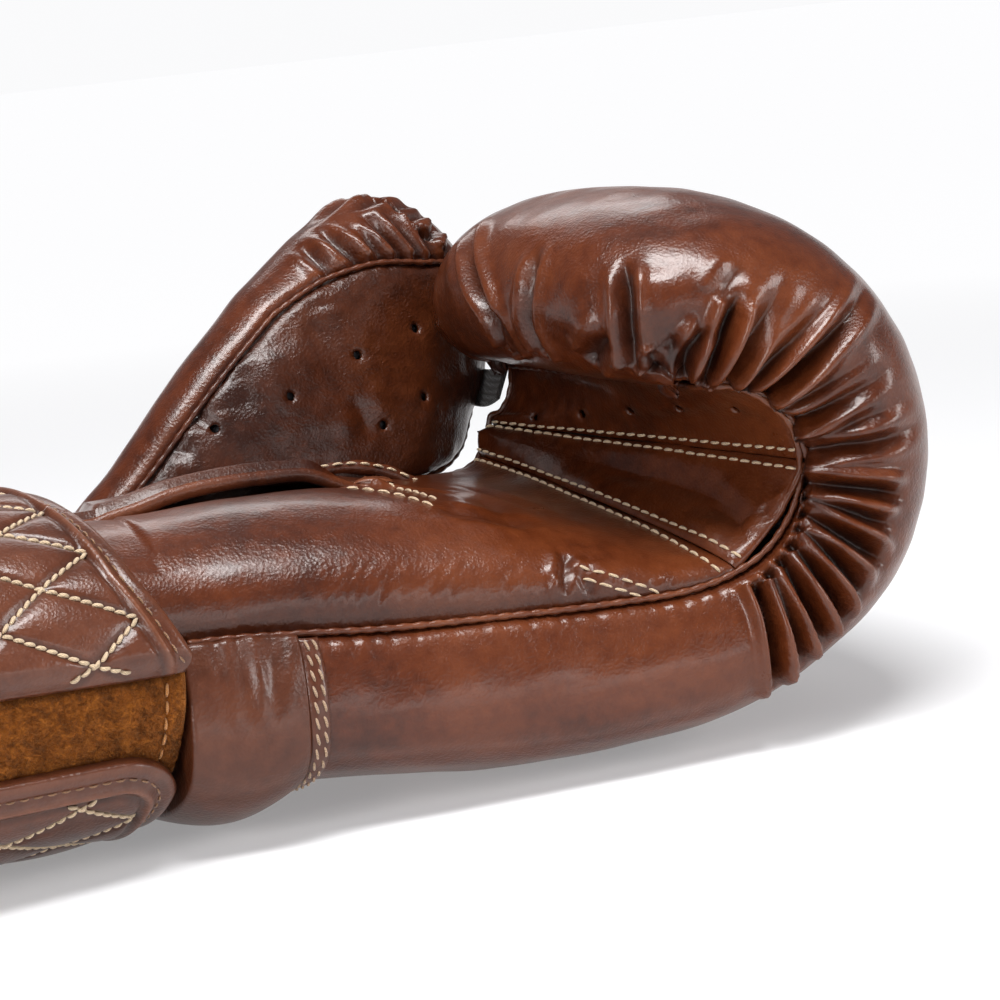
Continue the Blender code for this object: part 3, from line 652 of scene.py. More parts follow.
# ================================================================== folds
def seg_field(P, line, half):
    """Distance of points P (n,3) to a polyline, and the position along it from 0 to 1."""
    P = P.reshape(-1, 3)
    best = np.full(len(P), 1e9)
    pos = np.zeros(len(P))
    line = np.asarray(line, float)
    d = np.concatenate([[0], np.cumsum(np.linalg.norm(np.diff(line, axis=0), axis=1))])
    lo, hi = line.min(0) - 4 * half, line.max(0) + 4 * half
    sel = np.where(((P > lo) & (P < hi)).all(1))[0]
    Q = P[sel]
    b, s = best[sel], pos[sel]
    for i in range(len(line) - 1):
        a, c = line[i], line[i + 1]
        ab = c - a
        L = ab @ ab
        if L < 1e-9:
            continue
        t = np.clip((Q - a) @ ab / L, 0, 1)
        dist = np.linalg.norm(Q - a - t[:, None] * ab, axis=1)
        k = dist < b
        b = np.where(k, dist, b)
        s = np.where(k, (d[i] + t * (d[i + 1] - d[i])) / d[-1], s)
    best[sel], pos[sel] = b, s
    return best, pos


class Carver:
    """Collects folds on a grid surface, with a map of painted shade that darkens the valleys and makes the shoulders
    paler. Each fold is a line; depth in mm, half width in mm.
    """

    def __init__(self, P, N):
        self.P, self.N = P, N
        self.flat = P.reshape(-1, 3)
        self.h = np.zeros(len(self.flat))
        self.shade_wear = np.zeros(len(self.flat))
        self.tree = None

    def bvh(self):
        if self.tree is None:
            n, m = self.P.shape[:2]
            self.tree = BVHTree.FromPolygons(self.flat.tolist(), grid_faces(n, m).tolist())
        return self.tree

    def drop(self, pts):
        """Points of the view laid on the surface along the line of sight."""
        out = []
        for x, y in pts:
            hit = self.bvh().ray_cast(Vector(EYE), Vector(ray(x, y)), 2000)
            if hit[0] is not None:
                out.append(np.array(hit[0]))
        return np.array(out)

    def lay(self, pts, n=28):
        p = curve(np.array(pts, float), np.linspace(0, 1, n)) if len(pts) > 2 else np.linspace(pts[0], pts[1], n)
        return self.drop(p)

    def fold(self, line, depth, half, ridge=0.45, taper=(0.12, 0.35), shade=1.0, sharp=1.35):
        """A valley with raised, rounded shoulders, its valley darkened with painted shade. Negative depth makes a
        ridge.
        """
        if len(line) < 2:
            return
        d, s = seg_field(self.flat, line, half)
        k = d < 4 * half
        x = d[k] / half
        along = smoothstep(0, max(taper[0], 1e-3), s[k]) * (1 - smoothstep(1 - max(taper[1], 1e-3), 1, s[k]))
        v = np.exp(-x ** sharp * 1.5)
        sh = ridge * np.exp(-((x - 1.75) / 0.85) ** 2)
        self.h[k] += depth * along * (-v + sh)
        # painted shade: the valley is darkened in the shade map and the shoulders made paler, scaled by shade
        self.shade_wear[k] += shade * along * (-v * 0.9 + 0.28 * sh) * min(1.0, abs(depth) / 2.2) * np.sign(depth)

    def result(self, limit=(-5.5, 3.0)):
        n, m = self.P.shape[:2]
        h = np.clip(self.h, *limit).reshape(n, m)
        return self.P + self.N * h[..., None], np.clip(self.shade_wear, -1.2, 1.2).reshape(n, m)


# ================================================================== back shell of the fist and hand
NK, NP = ((470, 230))
kk = np.concatenate([np.linspace(2.06, 9.0, int(NK * 0.50)), np.linspace(9.0, 16.93, NK - int(NK * 0.50) + 1)[1:]])
f = np.linspace(0, 1, NP)
pp = 0.5 - 0.5 * np.cos(math.pi * f) * (0.55 + 0.45 * np.abs(np.cos(math.pi * f)))
shell = back(kk, pp, 0.0)
shellN = faced(shell, (90, 0, 60))
# distance of each shell point to its border seam; the real fist is a little fuller than its faceted frame between the
# sections, and this does not add that
border = np.concatenate([shell[:, 0][::1], shell[-1, :], shell[::-1, -1]])     # little side, fingertip seam, index side
seam_d = np.full(shell.shape[:2], 1e9)
seam_s = np.zeros(shell.shape[:2])
bl, btotal = resample(border, 1.5)
tree = KDTree(len(bl))
for i, p in enumerate(bl):
    tree.insert(p, i)
tree.balance()
flat = shell.reshape(-1, 3)
near = np.array([tree.find(p)[1:] for p in flat])
seam_i, seam_d = near[:, 0].reshape(shell.shape[:2]), near[:, 1].reshape(shell.shape[:2])
seam_s = seam_i * 1.5

c = Carver(shell, shellN)
# pleats gathered into the arc seam, near side: (inner end at the seam, middle, outer end), depth, half width
PLEATS = [
    ([(655, 372), (652, 358), (650, 345)], 1.6, 2.2),
    ([(683, 377), (690, 352), (712, 322)], 2.4, 2.5),
    ([(703, 382), (718, 350), (738, 300), (742, 285)], 2.6, 2.4),
    ([(722, 388), (745, 352), (775, 300), (790, 262)], 3.2, 2.5),
    ([(738, 396), (775, 360), (820, 315), (842, 285)], 2.6, 2.3),
    ([(752, 405), (800, 368), (848, 320), (868, 285)], 3.4, 2.6),
    ([(765, 416), (810, 395), (860, 366), (880, 350)], 2.4, 2.3),
    ([(776, 427), (820, 412), (872, 382), (898, 360)], 3.0, 2.5),
    ([(786, 440), (830, 432), (880, 412), (905, 398)], 2.3, 2.2),
    ([(793, 453), (835, 448), (885, 440), (924, 420)], 3.4, 2.6),
    ([(798, 467), (840, 466), (880, 462), (902, 460)], 2.2, 2.2),
    ([(801, 482), (845, 488), (885, 492), (908, 496)], 2.9, 2.4),
    ([(801, 497), (840, 508), (875, 520), (895, 526)], 2.2, 2.2),
    ([(799, 511), (838, 532), (872, 552), (888, 566)], 2.9, 2.5),
    ([(795, 526), (825, 550), (852, 578), (866, 600)], 2.4, 2.3),
    ([(789, 541), (812, 568), (838, 605), (846, 640)], 2.8, 2.4),
    ([(780, 556), (800, 590), (824, 640), (832, 672)], 3.0, 2.4),
    ([(768, 570), (784, 605), (798, 648), (802, 675)], 2.2, 2.2),
    ([(756, 582), (770, 620), (775, 670), (768, 706)], 3.6, 2.2),
]
for pts, depth, half in PLEATS:
    line = c.lay(pts)
    c.fold(line, depth * 1.75, half * 0.86, ridge=0.62, taper=(0.02, 0.30), shade=1.3, sharp=1.2)
# long folds over the near end of the fist
for pts, depth, half in [
    ([(512, 352), (492, 312), (474, 268), (476, 224), (490, 203)], 3.4, 2.3),
    ([(520, 352), (506, 326), (496, 306)], 1.6, 1.6),
    ([(545, 356), (528, 322), (530, 282), (540, 240)], 1.9, 2.6),
    ([(637, 368), (629, 340), (627, 300), (624, 255)], 2.4, 2.2),
    ([(590, 362), (600, 345), (612, 335)], 1.8, 3.0),
    ([(664, 372), (672, 345), (668, 330)], 2.0, 3.2),
    ([(720, 300), (735, 275), (745, 262)], 0.9, 3.0),
]:
    c.fold(c.lay(pts), depth * 1.5, half * 0.95, ridge=0.55, taper=(0.03, 0.34), shade=1.1, sharp=1.25)
# glossy swellings between the folds
for pts, depth, half in [
    ([(583, 345), (580, 290), (590, 250)], -1.3, 8.0),
    ([(655, 330), (655, 290), (660, 262)], -1.0, 7.0),
    ([(458, 240), (452, 275), (468, 320)], -1.2, 5.0),
]:
    c.fold(c.lay(pts), depth, half, ridge=0.0, taper=(0.3, 0.4), shade=0.0, sharp=2.0)
# small puckers along the side seam on the near side, and the same gathers on the far (index) side
n_, m_ = shell.shape[:2]
L_side = len(resample(shell[:, 0], 1.5)[0]) * 1.5
L_tip = len(resample(shell[-1], 1.5)[0]) * 1.5
r_ = np.random.RandomState(5)
i0 = 0
s = 6.0
while s < btotal - 8:
    on_side = s < L_side
    far = s > L_side + L_tip * 0.96
    base_i = int(s / 1.5)
    if base_i >= len(bl) - 1:
        break
    p0 = bl[base_i]
    if on_side and p0[0] < 118:
        # tiny puckers: seam tension
        depth, length, half = r_.uniform(0.10, 0.32), r_.uniform(5, 12), r_.uniform(1.0, 1.7)
        s += r_.uniform(3.5, 7.0)
    elif far and p0[0] > 60:
        depth, length, half = r_.uniform(1.0, 2.0), r_.uniform(22, 42), r_.uniform(2.3, 2.9)
        s += r_.uniform(7.5, 11.0)
    elif far:
        depth, length, half = r_.uniform(0.3, 0.9), r_.uniform(7, 16), r_.uniform(1.2, 1.8)
        s += r_.uniform(4.5, 8.0)
    else:
        s += 5.0
        continue
    # direction: away from the seam over the surface, followed with the normals
    pt = p0.copy()
    line = [pt]
    j = np.argmin(((flat - pt) ** 2).sum(1))
    ii, jj = divmod(int(j), m_)
    step = 1 if jj < m_ / 2 else -1
    tdir = shell[min(ii + 2, n_ - 1), jj] - shell[max(ii - 2, 0), jj]
    tdir /= max(np.linalg.norm(tdir), 1e-9)
    lean = r_.uniform(-0.25, 0.35)
    for q in range(12):
        nn = shellN[ii, jj]
        across = shell[ii, min(max(jj + step * 2, 0), m_ - 1)] - shell[ii, jj]
        if np.linalg.norm(across) < 1e-6:
            break
        across = across / np.linalg.norm(across) + tdir * lean
        across -= nn * (across @ nn)
        across /= np.linalg.norm(across)
        pt = pt + across * (length / 12)
        j = np.argmin(((flat - pt) ** 2).sum(1))
        ii, jj = divmod(int(j), m_)
        pt = flat[j] * 0.7 + pt * 0.3
        line.append(pt)
    c.fold(np.array(line), depth, half, ridge=0.5, taper=(0.02, 0.6), shade=0.8)

# the leather turns in to its seam all the way round, with a rounded lip; painted shade darkens the seam's groove and
# the lip is made paler
c.h -= (2.1 * np.exp(-(seam_d / 1.7) ** 1.5)).ravel()
c.shade_wear -= (0.75 * np.exp(-(seam_d / 1.5) ** 1.5)).ravel()
edge = np.exp(-((seam_d - 3.2) / 1.3) ** 2)
c.shade_wear += (0.22 * edge).ravel()
# leather never lies mathematically smooth: broad soft unevenness
c.h += 0.22 * noise3(c.flat, 34.0, 3) + 0.10 * noise3(c.flat, 13.0, 4)
S_, shell_shade_wear = c.result((-7.2, 4.2))
zr = rest_plane(S_[..., 0]) + 0.02
S_[..., 2] = np.maximum(S_[..., 2], zr)
shell_obj = skin("back_shell_leather", S_, shellN, 1.2, SHELL, "glove_body", shade_and_wear=shell_shade_wear, replaces=["back_shell"])
SHELL_SURF = (S_, shellN)

# ================================================================== palm panel
def slit_centre(k):
    return 0.135 + 0 * np.asarray(k)


NPK, NPV = ((300, 230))
kp = np.linspace(0.0, 6.625, NPK)
vp = np.sign(np.linspace(-1, 1, NPV)) * np.abs(np.linspace(-1, 1, NPV)) ** 0.85
palmP = palm(kp, vp)
palmP = under_strap(palmP)
palmN = faced(palmP, (60, 0, -200))
pc = Carver(palmP, palmN)
K_, V_ = np.meshgrid(kp, vp, indexing="ij")
kf, vf = K_.ravel(), V_.ravel()
half_ = (sections(kp)[5] * math.cos(SEAM_ANGLE) ** 0.9 - SEAM_INSET) * np.ones_like(K_)
yy = (half_ * V_).ravel()
# border: the leather dips into the side seams and into the seam with the grip bar, with painted shade along the side
# seams
edge_d = (half_ * (1 - np.abs(V_))).ravel()
pc.h -= 0.9 * np.exp(-(edge_d / 1.4) ** 1.5) + 0.45 * np.exp(-(np.abs((6.61 - kf) * 18) / 1.6) ** 1.5)
pc.shade_wear -= 0.5 * np.exp(-(edge_d / 1.2) ** 1.5)
# entry slit: the thumb-side lip is rolled up, the little-finger side falls away under it; painted shade darkens the
# slit
slit_v = 0.135
slit_y = (half_ * (V_ - slit_v)).ravel()
open_k = 1 - smoothstep(3.15, 3.72, kf)
lip = np.exp(-(np.maximum(slit_y - 3.5, 0) / 5.5) ** 2) * open_k * smoothstep(0.5, 1.6, kf)
pc.h += 6.4 * lip * np.where(slit_y > 0, 1, 0.0) * (0.5 + 0.5 * smoothstep(0.8, 2.6, kf))
pc.h -= 3.2 * np.exp(-((slit_y + 1.0) / 6.5) ** 2) * np.where(slit_y < 1.5, 1, 0) * open_k
pc.shade_wear -= 0.9 * np.exp(-(slit_y / 2.4) ** 2) * open_k
# gathers where the slit ends
for dv, dk, dep in ((-0.10, 0.9, 1.2), (-0.02, 1.2, 1.5), (0.08, 1.0, 1.4), (0.17, 0.7, 1.1)):
    ln = palm(np.linspace(3.75, 3.75 + dk, 10), np.array([0.135]))[:, 0] + np.outer(np.linspace(0, 1, 10), (0, dv * 55, 0))
    pc.fold(ln, dep, 1.6, ridge=0.6, taper=(0.05, 0.6))
# heel of the hand: fuller towards the little finger
pc.h += 1.6 * np.exp(-(((V_ + 0.35) / 0.38) ** 2 + ((K_ - 2.6) / 1.9) ** 2)).ravel()
# dart beside the little-finger edge, and the drape folds of the palm
for pts, depth, half in [
    ([(566, 552), (566, 580), (571, 606)], 1.6, 1.8),
    ([(572, 566), (590, 590), (600, 612)], 1.3, 3.4),
    ([(480, 500), (520, 528), (545, 545)], 0.7, 4.5),
    ([(430, 508), (470, 516), (510, 522), (545, 520)], 1.0, 3.6),
    ([(455, 485), (510, 500), (560, 522)], 0.6, 3.0),
    ([(620, 600), (650, 604), (690, 598)], 0.5, 1.5),
]:
    pc.fold(pc.lay(pts), depth, half, ridge=0.5, taper=(0.2, 0.4), shade=0.6)
r_ = np.random.RandomState(11)
kq = 2.2
while kq < 6.3:
    ln = palm(np.full(8, kq), np.array([0.0]))[:, 0]
    v_end = -1 + r_.uniform(0.05, 0.16)
    ln = np.array([palm(np.array([kq + 0.06 * q]), np.array([-0.995 + (v_end + 0.995) * q / 7]))[0, 0] for q in range(8)])
    pc.fold(ln, r_.uniform(0.06, 0.22), r_.uniform(0.8, 1.3), ridge=0.5, taper=(0.02, 0.6), shade=0.4)
    kq += r_.uniform(0.09, 0.2)
pc.h += 0.30 * noise3(pc.flat, 38.0, 7) + 0.05 * noise3(pc.flat, 12.0, 8)
palmS, palmR = pc.result((-5, 7.5))
keep = np.ones((NPK - 1, NPV - 1), bool)
kmid, vmid = np.meshgrid((kp[:-1] + kp[1:]) / 2, (vp[:-1] + vp[1:]) / 2, indexing="ij")
keep &= ~((kmid < 3.72) & (np.abs(vmid - slit_v) < 0.019))
skin("palm_leather", palmS, palmN, 1.2, PANEL, "glove_body", keep=keep, shade_and_wear=palmR, replaces=["palm_panel"])
PALM_SURF = Surface(palmS, palmN)


def at_palm(k, v, lift=0.0):
    """Point of the finished palm leather at row k and side position v."""
    q = under_strap(palm(np.atleast_1d(k), np.atleast_1d(v)))
    q = np.array([q[i, min(i, q.shape[1] - 1)] for i in range(len(q))]) if q.shape[1] > 1 else q[:, 0]
    pos, nor = PALM_SURF.snap(q)
    return pos + nor * lift


gone = np.where(~keep[2])[0]
rows_ = np.where(kp < 3.74)[0]
for side, col, rad, out_, in_ in (("little", gone[0], 1.25, -0.3, -0.5), ("thumb", gone[-1] + 1, 2.1, 1.3, -0.9)):
    ln = palmS[rows_, col] + np.array([0, out_, 0]) + palmN[rows_, col] * in_
    for _ in range(6):
        ln[1:-1] = (ln[:-2] + 2 * ln[1:-1] + ln[2:]) / 4
    ln, _ = resample(ln, 1.6)
    ln[:, 2] += 0.25 * wave(np.linspace(0, 11, len(ln)), 3 if side == "little" else 9)
    tube(f"slit_edge_{side}", ln, rad * (0.75 + 0.25 * np.sin(np.linspace(0.2, 3.0, len(ln)))), TRIM, "glove_body", 12,
         replaces=[f"slit_binding_{side}"])
# gathered stop at the end of the slit
tab_c = at_palm(3.86, slit_v, 0.9)[0]
gu, gv = np.meshgrid(np.linspace(0, math.pi, 22), np.linspace(0, 2 * math.pi, 41)[:-1], indexing="ij")
tabP = np.stack([5.0 * np.cos(gu), 3.6 * np.sin(gu) * np.cos(gv), 1.9 * np.sin(gu) * np.sin(gv)], -1)
tabP *= (1 + 0.10 * np.sin(gv * 5 + gu * 2))[..., None]
tv = (tab_c + tabP.reshape(-1, 3))
tf = grid_faces(22, 40, True).tolist()
mesh_object("slit_stop_gather", tv, tf, TRIM, "glove_body", shade_and_wear=(0.5 * np.sin(gv * 5 + gu * 2)).ravel(), replaces=["slit_stop_tab"])

# ================================================================== grip bar cover and vented finger panel
NG = 230
kg = np.linspace(6.60, 9.255, 130)
vg = np.linspace(-1, 1, NG)
tg = (kg - kg[0]) / (kg[-1] - kg[0])
roll = -4.2 * np.abs(np.sin(math.pi * np.clip(tg, 0, 1)))[:, None] ** 0.75
gripP = palm(kg, vg, roll)
gripN = faced(gripP, (230, 0, 60))
gc = Carver(gripP, gripN)
KG, VG = np.meshgrid(kg, vg, indexing="ij")
hg = (sections(kg)[5] * math.cos(SEAM_ANGLE) ** 0.9 - SEAM_INSET) * np.ones_like(KG)
gc.h -= (1.0 * np.exp(-((hg * (1 - np.abs(VG))) / 1.4) ** 1.5)).ravel()
gc.h -= (0.45 * np.exp(-(np.abs(KG - 6.61) * 20 / 1.4) ** 1.5) + 0.45 * np.exp(-(np.abs(9.245 - KG) * 20 / 1.4) ** 1.5)).ravel()
for pts, depth, half in [
    ([(590, 470), (660, 480), (720, 500), (760, 530)], 0.9, 4.0),
    ([(700, 498), (735, 520), (745, 545)], 1.1, 3.4),
    ([(560, 455), (620, 468), (680, 480)], 0.5, 3.0),
    ([(760, 505), (772, 525), (768, 545)], 0.8, 3.0),
]:
    gc.fold(gc.lay(pts), depth, half, ridge=0.6, taper=(0.3, 0.4), shade=0.35)
gc.h += 0.25 * noise3(gc.flat, 26.0, 17) + 0.10 * noise3(gc.flat, 10.0, 18)
gripS, gripR = gc.result((-3, 3))
skin("grip_bar_leather", gripS, gripN, 1.2, PANEL, "glove_body", shade_and_wear=gripR, replaces=["grip_bar_cover"])

kv = np.linspace(9.235, 12.99, 170)
vv = np.linspace(-1, 1, NG)
finP = palm(kv, vv)
finN = faced(finP, (210, 0, 120))
fc = Carver(finP, finN)
KF, VF = np.meshgrid(kv, vv, indexing="ij")
hf = (sections(kv)[5] * math.cos(SEAM_ANGLE) ** 0.9 - SEAM_INSET) * np.ones_like(KF)
fc.h -= (1.0 * np.exp(-((hf * (1 - np.abs(VF))) / 1.4) ** 1.5) + 0.45 * np.exp(-(np.abs(KF - 9.245) * 14 / 1.4) ** 1.5)
         + 0.9 * np.exp(-(np.abs(12.99 - KF) * 10 / 1.6) ** 1.5)).ravel()
fc.h += 0.28 * noise3(fc.flat, 24.0, 27) + 0.10 * noise3(fc.flat, 9.0, 28)


def punch(P, N, centres, radius):
    """Round holes: cells whose corner falls inside are left out, and the corners round them move onto the circle."""
    n, m = P.shape[:2]
    keep_ = np.ones((n - 1, m - 1), bool)
    Q = P.copy()
    for cpt in centres:
        d = np.linalg.norm(P - cpt, axis=-1)
        inside = d < radius
        bad = inside[:-1, :-1] | inside[1:, :-1] | inside[:-1, 1:] | inside[1:, 1:]
        keep_ &= ~bad
        ring = np.zeros((n, m), bool)
        ring[:-1, :-1] |= bad
        ring[1:, :-1] |= bad
        ring[:-1, 1:] |= bad
        ring[1:, 1:] |= bad
        ring &= ~inside
        off = P - cpt
        nn = N[np.unravel_index(np.argmin(d), d.shape)]
        hgt = (off @ nn)[..., None] * nn
        flat_ = off - hgt
        r0 = np.linalg.norm(flat_, axis=-1, keepdims=True)
        Q[ring] = (cpt + hgt + flat_ / np.maximum(r0, 1e-6) * radius)[ring]
        soft = (d < radius + 2.2) & ~inside
        Q[soft] = Q[soft] - N[soft] * (0.45 * np.exp(-((d[soft] - radius) / 0.9)))[:, None]
    return Q, keep_


finS, finR = fc.result((-3, 3))
vents = []
VENT_K = ((-0.74, 10.60), (-0.38, 10.72), (-0.02, 10.62), (0.34, 10.40), (0.68, 10.05))
for v, k_ in VENT_K:
    q = palm(np.array([k_]), np.array([v]))[0, 0]
    i = np.argmin(((finS.reshape(-1, 3) - q) ** 2).sum(1))
    vents.append(finS.reshape(-1, 3)[i])
finQ, fkeep = punch(finS, finN, vents, 1.35)
skin("finger_vent_leather", finQ, finN, 1.5, PANEL, "glove_body", keep=fkeep, shade_and_wear=finR, replaces=["finger_vent_panel"])

# thread of the two double-stitched seams, laid a little proud of the leather
inner_face = np.concatenate([palmS[-40:], ]), np.concatenate([palmN[-40:], ])
GRIP_SURF = Surface(np.concatenate([gripS.reshape(-1, 3), finS.reshape(-1, 3), palmS[-50:].reshape(-1, 3)]),
                    np.concatenate([gripN.reshape(-1, 3), finN.reshape(-1, 3), palmN[-50:].reshape(-1, 3)]))


def row_line(k, lo=-0.99, hi=0.99, off=0.0, n=120):
    v = np.linspace(lo, hi, n)
    rr = -4.2 * math.sin(math.pi * min(max((k - 6.60) / 2.64, 0), 1)) ** 0.75
    return palm(np.array([k]), v, rr)[0]


stitches("grip_stitches", [row_line(9.44), row_line(9.04), row_line(6.40), row_line(6.80)], GRIP_SURF, THREAD, "glove_body",
         length=2.9, gap=0.9, radius=0.40, slant=0.12)
# double stitches of the palm
lines = []
for pts in ([(577, 566), (600, 573), (628, 580), (655, 590), (671, 604)], [(583, 576), (604, 584), (630, 592), (648, 600), (655, 606)]):
    lines.append(pc.lay(pts, 40))
for pts in ([(345, 485), (375, 488), (405, 493), (437, 503)], [(345, 492), (375, 496), (405, 501), (434, 509)]):
    lines.append(pc.lay(pts, 30))
stitches("palm_stitches", lines, PALM_SURF, THREAD, "glove_body", length=2.7, gap=0.9, radius=0.36, slant=0.1)
# bound side seams: a thin worn edge where the palm leather is turned over the shell's
for side, v in (("little", -1.0), ("index", 1.0)):
    a = under_strap(palm(np.linspace(1.05, 6.6, 150), np.array([v]), 0.2, 1.0))[:, 0]
    b = palm(np.linspace(6.65, 12.9, 110), np.array([v]), 0.1, 0.9)[:, 0]
    ln, _ = resample(np.concatenate([a, b]), 0.7)
    ss = np.arange(len(ln)) * 0.7
    tube(f"side_seam_edge_{side}", ln, 0.82 + 0.12 * np.sin(ss * 2 * math.pi / 4.2), TRIM, "glove_body", 8)
tipv = np.linspace(-1, 1, 220)
ln = palm(np.array([12.97]), tipv, -0.2, 0.9)[0]
ln, _ = resample(ln, 0.7)
tube("fingertip_seam_edge", ln, 0.85 + 0.13 * np.sin(np.arange(len(ln)) * 0.7 * 2 * math.pi / 4.2), TRIM, "glove_body", 8)

# ================================================================== wrist band and the stitched strip
NB = 220
kb = np.concatenate([np.linspace(0.962, 0.971, 10), np.linspace(0.973, 2.0, 60)])
pb = np.linspace(0.0, 1.0, NB)
prof = np.sin(math.pi * np.clip((kb - 0.93) / 1.12, 0, 1)) ** 0.45
swell = -(0.9 + (0.9 + 6.4 * np.sin(math.pi * pb) ** 1.5)[None, :] * prof[:, None])
swell[:10] = swell[10] * np.linspace(0, 1, 11)[:10, None] + 6.5 * np.linspace(1, 0, 11)[:10, None]
bandP = back(kb, pb, swell)
bandN = faced(bandP, (0, 0, 40))
bc = Carver(bandP, bandN)
KB, PB = np.meshgrid(kb, pb, indexing="ij")
for i, (kc, dep, ln_) in enumerate(((1.24, 0.9, 0.10), (1.42, 1.4, 0.13), (1.60, 0.8, 0.09), (1.74, 1.2, 0.12), (1.88, 0.7, 0.08))):
    for side in (0, 1):
        p = np.linspace(0.0, ln_, 16)
        q = p if side == 0 else 1 - p
        kx = kc + (1.55 - kc) * 0.35 * p / ln_
        line = np.array([back(np.array([a]), np.array([b]), -1.0)[0, 0] for a, b in zip(kx, q)])
        bc.fold(line, dep, 2.0, ridge=0.6, taper=(0.02, 0.75), shade=0.7)
bc.h += 0.35 * noise3(bc.flat, 30.0, 31)
bandS, bandR = bc.result((-3, 2.0))
bandS[..., 2] = np.maximum(bandS[..., 2], rest_plane(bandS[..., 0]) + 0.02)
skin("wrist_band_leather", bandS, bandN, 1.3, BAND, "glove_body", shade_and_wear=bandR, replaces=["wrist_band"])
kst = np.linspace(1.985, 2.215, 18)
pst = np.linspace(0.005, 0.995, NB)
hump = np.sin(math.pi * np.linspace(0, 1, 18)) ** 0.4
stripP = back(kst, pst, -(0.5 + 1.5 * hump)[:, None] - 0 * pst[None, :])
stripP[..., 2] = np.maximum(stripP[..., 2], rest_plane(stripP[..., 0]) + 0.4)
stripN = faced(stripP, (0, 0, 40))
skin("wrist_strip_leather", stripP, stripN, 0.9, STRAPL, "glove_body", shade_and_wear=np.zeros(stripP.shape[:2]), replaces=["wrist_seam_strip"])
SURF = Surface(stripP, stripN)
stitches("wrist_strip_stitches", [stripP[6], stripP[12]], SURF, thread_material("thread_tan", (0.46, 0.30, 0.185)), "glove_body", length=2.6, gap=1.0, radius=0.36, slant=0.35)

# ================================================================== cuff
def cuff_sheet(name, x0, x1, t0, t1, off, mat, node, thick=1.2, seed=1, amp=0.35, rel_edge=0.4):
    nx, nt_ = 70, int(abs(t1 - t0) * 0.9) + 10
    X, T = np.meshgrid(np.linspace(x0, x1, nx), np.linspace(t0, t1, nt_), indexing="ij")
    P = cuff(X, T, off)
    N = faced(P, (-60, 0, 35))
    h = amp * noise3(P, 30.0, seed) + 0.1 * noise3(P, 10.0, seed + 1)
    ex = np.minimum(np.abs(X - x0), np.abs(X - x1))
    h -= 0.9 * np.exp(-(ex / 1.2) ** 1.5)
    P = P + N * h[..., None]
    P[..., 2] = np.maximum(P[..., 2], rest_plane(P[..., 0]) + 0.6)
    skin(name, P, N, thick, mat, "glove_body", shade_and_wear=rel_edge * np.exp(-((ex - 1.5) / 1.0) ** 2), replaces=[node])
    return P, N


cuff_sheet("cuff_back_leather", CUFF_END, -16, 187.6, 369.4, 0, STRAPL, "cuff_back_panel", seed=41)
cuff_sheet("cuff_flap_little_leather", CUFF_END, -50, 9, 84, 0, STRAPL, "cuff_flap_little", seed=43)
cuff_sheet("cuff_flap_thumb_leather", CUFF_END, -50, 99, 187, 0, STRAPL, "cuff_flap_thumb", seed=45)
for side, lo_, hi_ in (("thumb", 170, 191), ("little", 366, 380)):
    X, T = np.meshgrid(np.linspace(-54, -15, 30), np.linspace(lo_, hi_, 20), indexing="ij")
    P = cuff(X, T, -1.5)
    N = faced(P, (-60, 0, 35))
    skin(f"cuff_side_gusset_{side}", P, N, 0.8, STRAPL, "glove_body", shade_and_wear=np.zeros(P.shape[:2]))
th_ = np.linspace(100, 443, 220)
rimL = cuff(CUFF_END - 3.6, th_, -4.2)
tube("cuff_rim_leather", rimL, 2.6 + 0.15 * np.sin(th_ * 0.9), TRIM, "glove_body", 16, replaces=["cuff_rim_binding"])
X, T = np.meshgrid(np.linspace(CUFF_END + 1, -12, 70), np.linspace(100, 443, 240), indexing="ij")
P = cuff(X, T, -9.4)
N = faced(P, (-60, 0, 35))
h = 0.5 * noise3(P, 24.0, 51) + 0.25 * noise3(P, 9.0, 52)
skin("cuff_lining_cloth", P + N * h[..., None], N, 0.7, LINING, "glove_body", replaces=["cuff_lining"])

# hand lining: a thin sock, open at the wrist, at the slit and towards the thumb
HAND_D1 = ((0, 5), (2, 6), (5, 9), (7, 9), (12, 9), (14, 8), (ROWS, 5))
HAND_D2 = ((0, 3), (2, 4), (5, 6.5), (7, 6), (12, 6), (14, 5), (ROWS, 3))
LINING_PALM = ((0, 8.4), (6, 8.6), (7, 9.6), (9, 9.6), (10, 5.5), (ROWS, 4.5))


def depth_of(table, k_):
    t = np.array(table, float)
    return np.interp(k_, t[:, 0], t[:, 1])[:, None]


FIRST = 1.3 + 1.2 + 0.3
kl = np.linspace(1.25, 13.4, 120)
deep = FIRST + depth_of(HAND_D1, kl) + 1.0 + depth_of(HAND_D2, kl) + 2.7
sock = np.concatenate([back(kl, np.linspace(0.16, 0.84, 60), deep),
                       palm(kl, np.concatenate([np.linspace(.74, .16, 26), np.linspace(.12, -.74, 36)]), depth_of(LINING_PALM, kl), 6)], 1)
N = faced(sock, sock.mean((0, 1)), wrap=True)
keep = np.ones((119, sock.shape[1]), bool)
midl = (kl[:-1] + kl[1:]) / 2
keep[:, 85] &= ~(midl < 3.4)
keep[:, 66:77] &= ~((midl > 2.3) & (midl < 4.4))[:, None]
h = 0.35 * noise3(sock, 22.0, 61)
skin("hand_lining_cloth", sock + N * h[..., None], N, 0.7, LINING, "glove_body", wrap=True, keep=keep, replaces=["hand_lining"], cap=True)


